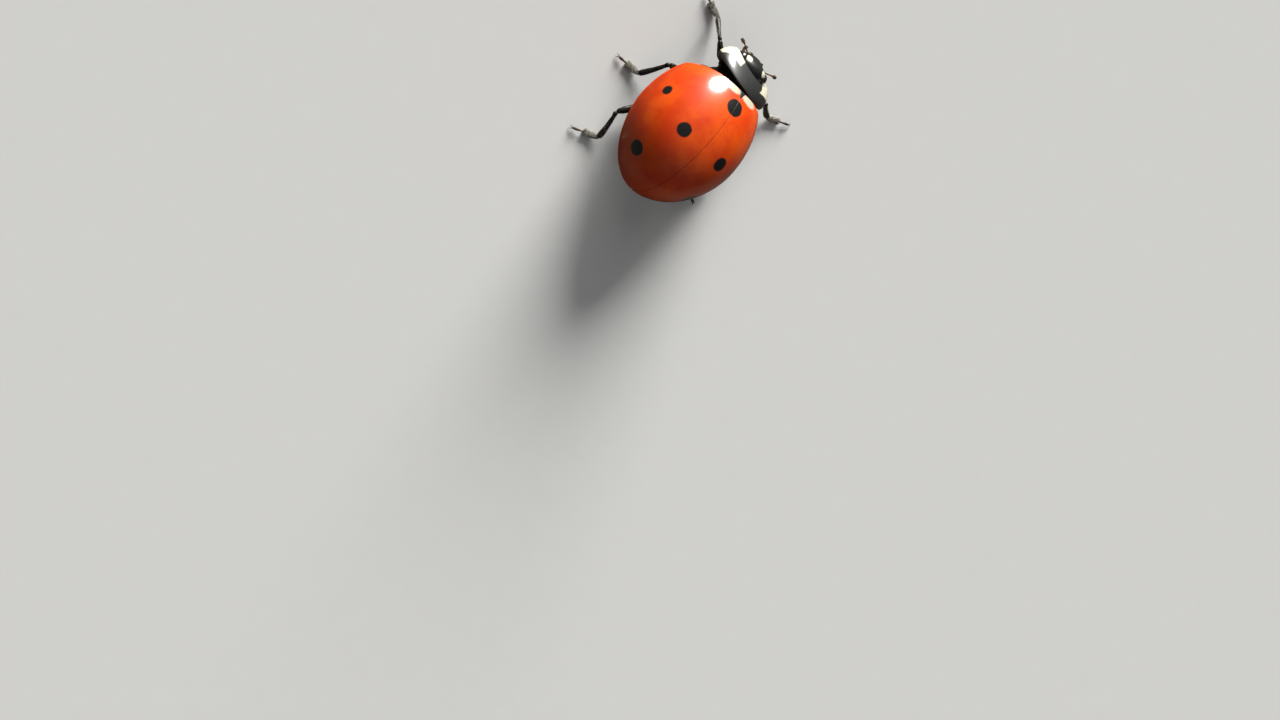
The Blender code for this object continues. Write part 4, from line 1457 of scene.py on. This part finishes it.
class LADYBIRD_OT_legs(bpy.types.Operator):
    """Model the six legs down to their claws"""
    bl_idname = "ladybird.legs"
    bl_label = "Legs"

    def execute(self, context):
        claw = self.claw()
        for pair in PAIRS:
            legs = [Leg(pair, side) for side in SIDES]
            hip = self.hip_joint(PAIRS[pair]["radii"])
            hips = (hip, mirrored(hip))
            thigh = legs[0].thigh.grow(26, 34)
            thighs = (thigh, twin(thigh))
            shin = legs[0].shin.grow(22, 34)
            shins = (shin, twin(shin))
            for leg, *parts in zip(legs, hips, thighs, shins):
                places = (Matrix.Translation(leg.coxa), leg.thigh.place, leg.shin.place)
                for part, place, name, node in zip(parts, places, ("_hip", "_thigh", "_shin"),
                                                   ("_coxa", "_femur", "_tibia")):
                    settle(part, leg.name + name, horn("leg_horn"), [leg.name + node], place)
                self.add_foot(leg, claw)
        bpy.data.objects.remove(claw)
        return {"FINISHED"}

    @staticmethod
    def hip_joint(radii):
        """An egg with a socket for the thigh, about its own centre."""
        wide, _, high = radii
        obj = ball((0, 0, 0), [0.96 * radius for radius in radii], 28, 20)
        push(obj, (0.55 * wide, 0, -0.9 * high), 0.10, (0, 0, 0.06), 0.12)
        push(obj, (-0.5 * wide, 0, 0.8 * high), 0.10, (0, 0, 0.03), 0.20)
        return smoothed(close_up(obj))

    @staticmethod
    def claw():
        """A hook with a tooth at its base, from the origin along Z and down -X."""
        here = Matrix.Identity(4)
        hook = Rod(((0.0, -0.03), (0.05, 0.07), (-0.01, 0.16), (-0.10, 0.17)),
                   through((0, 0.026), (0.5, 0.019), (1, 0.006)),
                   through((0, 0.030), (0.5, 0.022), (1, 0.007)), here, 0.12)
        tooth = Rod(((0.01, 0.05), (-0.03, 0.06), (-0.065, 0.05)), through((0, 0.018), (1, 0.005)),
                    through((0, 0.024), (1, 0.006)), here, 0.14)
        return joined([hook.made(12, 18), tooth.made(10, 10)])

    @staticmethod
    def add_foot(leg, claw):
        """The lobes and last joint in one piece, and a pair of claws."""
        foot = joined([part.made(20, 26) for part in leg.foot])
        settle(foot, leg.name + "_foot", horn("foot_horn"), [leg.name + "_tarsus"])
        last = leg.foot[-1]
        ahead = last.axes(1.0)[0]
        flat = Vector((ahead.x, ahead.y, 0)).normalized()
        root = last.place @ last.spine[-1] - flat * 0.02
        claws = []
        for sign in SIDES.values():
            splay = Matrix.Rotation(math.radians(sign * 26), 3, "Z")
            claws.append(twin(claw, placed(root, splay @ flat, Vector((0, 0, 1)))))
        settle(joined(claws), leg.name + "_claws", horn("feeler_horn"))


class LADYBIRD_OT_hairs(bpy.types.Operator):
    """Set short hairs on the legs, feet and underside"""
    bl_idname = "ladybird.hairs"
    bl_label = "Hairs"

    # Of the rods of a leg and a foot: number, length and radius of the hairs, how far they lean
    # ahead, the part of the rod that they cover, and the arc of it.
    UNDER = (-math.pi * 0.95, -math.pi * 0.05)
    THIGH = (240, 0.55, 0.0032, 0.80, (0.12, 0.98))
    SHIN = (300, 0.80, 0.0035, 0.74, (0.12, 1.0))
    HIP = (90, 0.5, 0.0032)
    PADS = ((0, (520, 1.0, 0.0055, 0.62, (0.15, 1.0))), (1, (620, 1.0, 0.0055, 0.62, (0.05, 1.0))),
            (0, (420, 0.9, 0.0042, 0.25, (0.30, 1.0), UNDER)),
            (1, (560, 0.9, 0.0042, 0.25, (0.10, 1.0), UNDER)), (2, (60, 0.6, 0.0034, 0.60, (0.35, 0.95))))
    # Of the plates underneath: the rule, number of hairs and where they start.
    PLATES = {"abdomen": (abdomen_rule, 900, 0.10), "thorax": (thorax_rule, 900, 0.24),
              "prosternum": (prosternum_rule, 350, 0.10)}

    def execute(self, context):
        rng = random.Random(7)
        body = context.scene.ladybird_body
        grey = finish_named("hair_grey", hair_finish, "hair_grey", tuple(body.hair))
        pale = finish_named("hair_pale", hair_finish, "hair_pale", tuple(body.pad))
        for pair, side in STANCE:
            leg = Leg(pair, side)
            hairs = self.on_rod(leg.thigh, 0, rng, *self.THIGH) + self.on_rod(leg.shin, 1, rng, *self.SHIN)
            count, share, radius = self.HIP
            length = body.hair_length * share
            hairs += hip_hairs(leg.coxa, PAIRS[pair]["radii"], 2, rng, count, length, radius)
            pads = []
            for joint, cover in self.PADS:
                pads += self.on_rod(leg.foot[joint], joint, rng, *cover)
            settle(hair_mesh(leg.name + "_hairs", hairs), leg.name + "_hairs", grey)
            settle(hair_mesh(leg.name + "_pads", pads), leg.name + "_pads", pale)
        for tile, (name, (rule, count, start)) in enumerate(self.PLATES.items()):
            hairs = plate_hairs(rule, tile, rng, count, body.hair_length, 0.0036, start)
            settle(hair_mesh(name + "_hairs", hairs), name + "_hairs", grey,
                   turn=NECK if name == "prosternum" else None)
        return {"FINISHED"}

    @staticmethod
    def on_rod(rod, tile, rng, count, share, *cover):
        """Hairs whose length is a share of the longest."""
        length = bpy.context.scene.ladybird_body.hair_length * share
        return limb_hairs(rod, tile, rng, count, length, *cover)


class LADYBIRD_PT_panel(bpy.types.Panel):
    """Ladybird settings and pieces"""
    bl_label = "Ladybird"
    bl_idname = "LADYBIRD_PT_panel"
    bl_space_type = "VIEW_3D"
    bl_region_type = "UI"
    bl_category = "Ladybird"

    def draw(self, context):
        for name in GROUPS:
            box = self.layout.box()
            group = getattr(context.scene, name)
            for key in group.__annotations__:
                box.prop(group, key)
        for operator in OPERATORS:
            self.layout.operator(operator.bl_idname)


OPERATORS = (LADYBIRD_OT_stage, LADYBIRD_OT_wing_cases, LADYBIRD_OT_scutellum, LADYBIRD_OT_pronotum,
             LADYBIRD_OT_underside, LADYBIRD_OT_head, LADYBIRD_OT_feelers, LADYBIRD_OT_legs,
             LADYBIRD_OT_hairs)
GROUPS = {"ladybird_shell": LADYBIRD_PG_shell, "ladybird_body": LADYBIRD_PG_body,
          "ladybird_stage": LADYBIRD_PG_stage}


def register():
    for cls in (*GROUPS.values(), *OPERATORS, LADYBIRD_PT_panel):
        bpy.utils.register_class(cls)
    for name, group in GROUPS.items():
        setattr(bpy.types.Scene, name, bpy.props.PointerProperty(type=group))


def unregister():
    for name in GROUPS:
        delattr(bpy.types.Scene, name)
    for cls in (LADYBIRD_PT_panel, *reversed(OPERATORS), *reversed(GROUPS.values())):
        bpy.utils.unregister_class(cls)


def main():
    register()
    for operator in OPERATORS:
        group, name = operator.bl_idname.split(".")
        getattr(getattr(bpy.ops, group), name)()


if __name__ == "__main__":
    main()
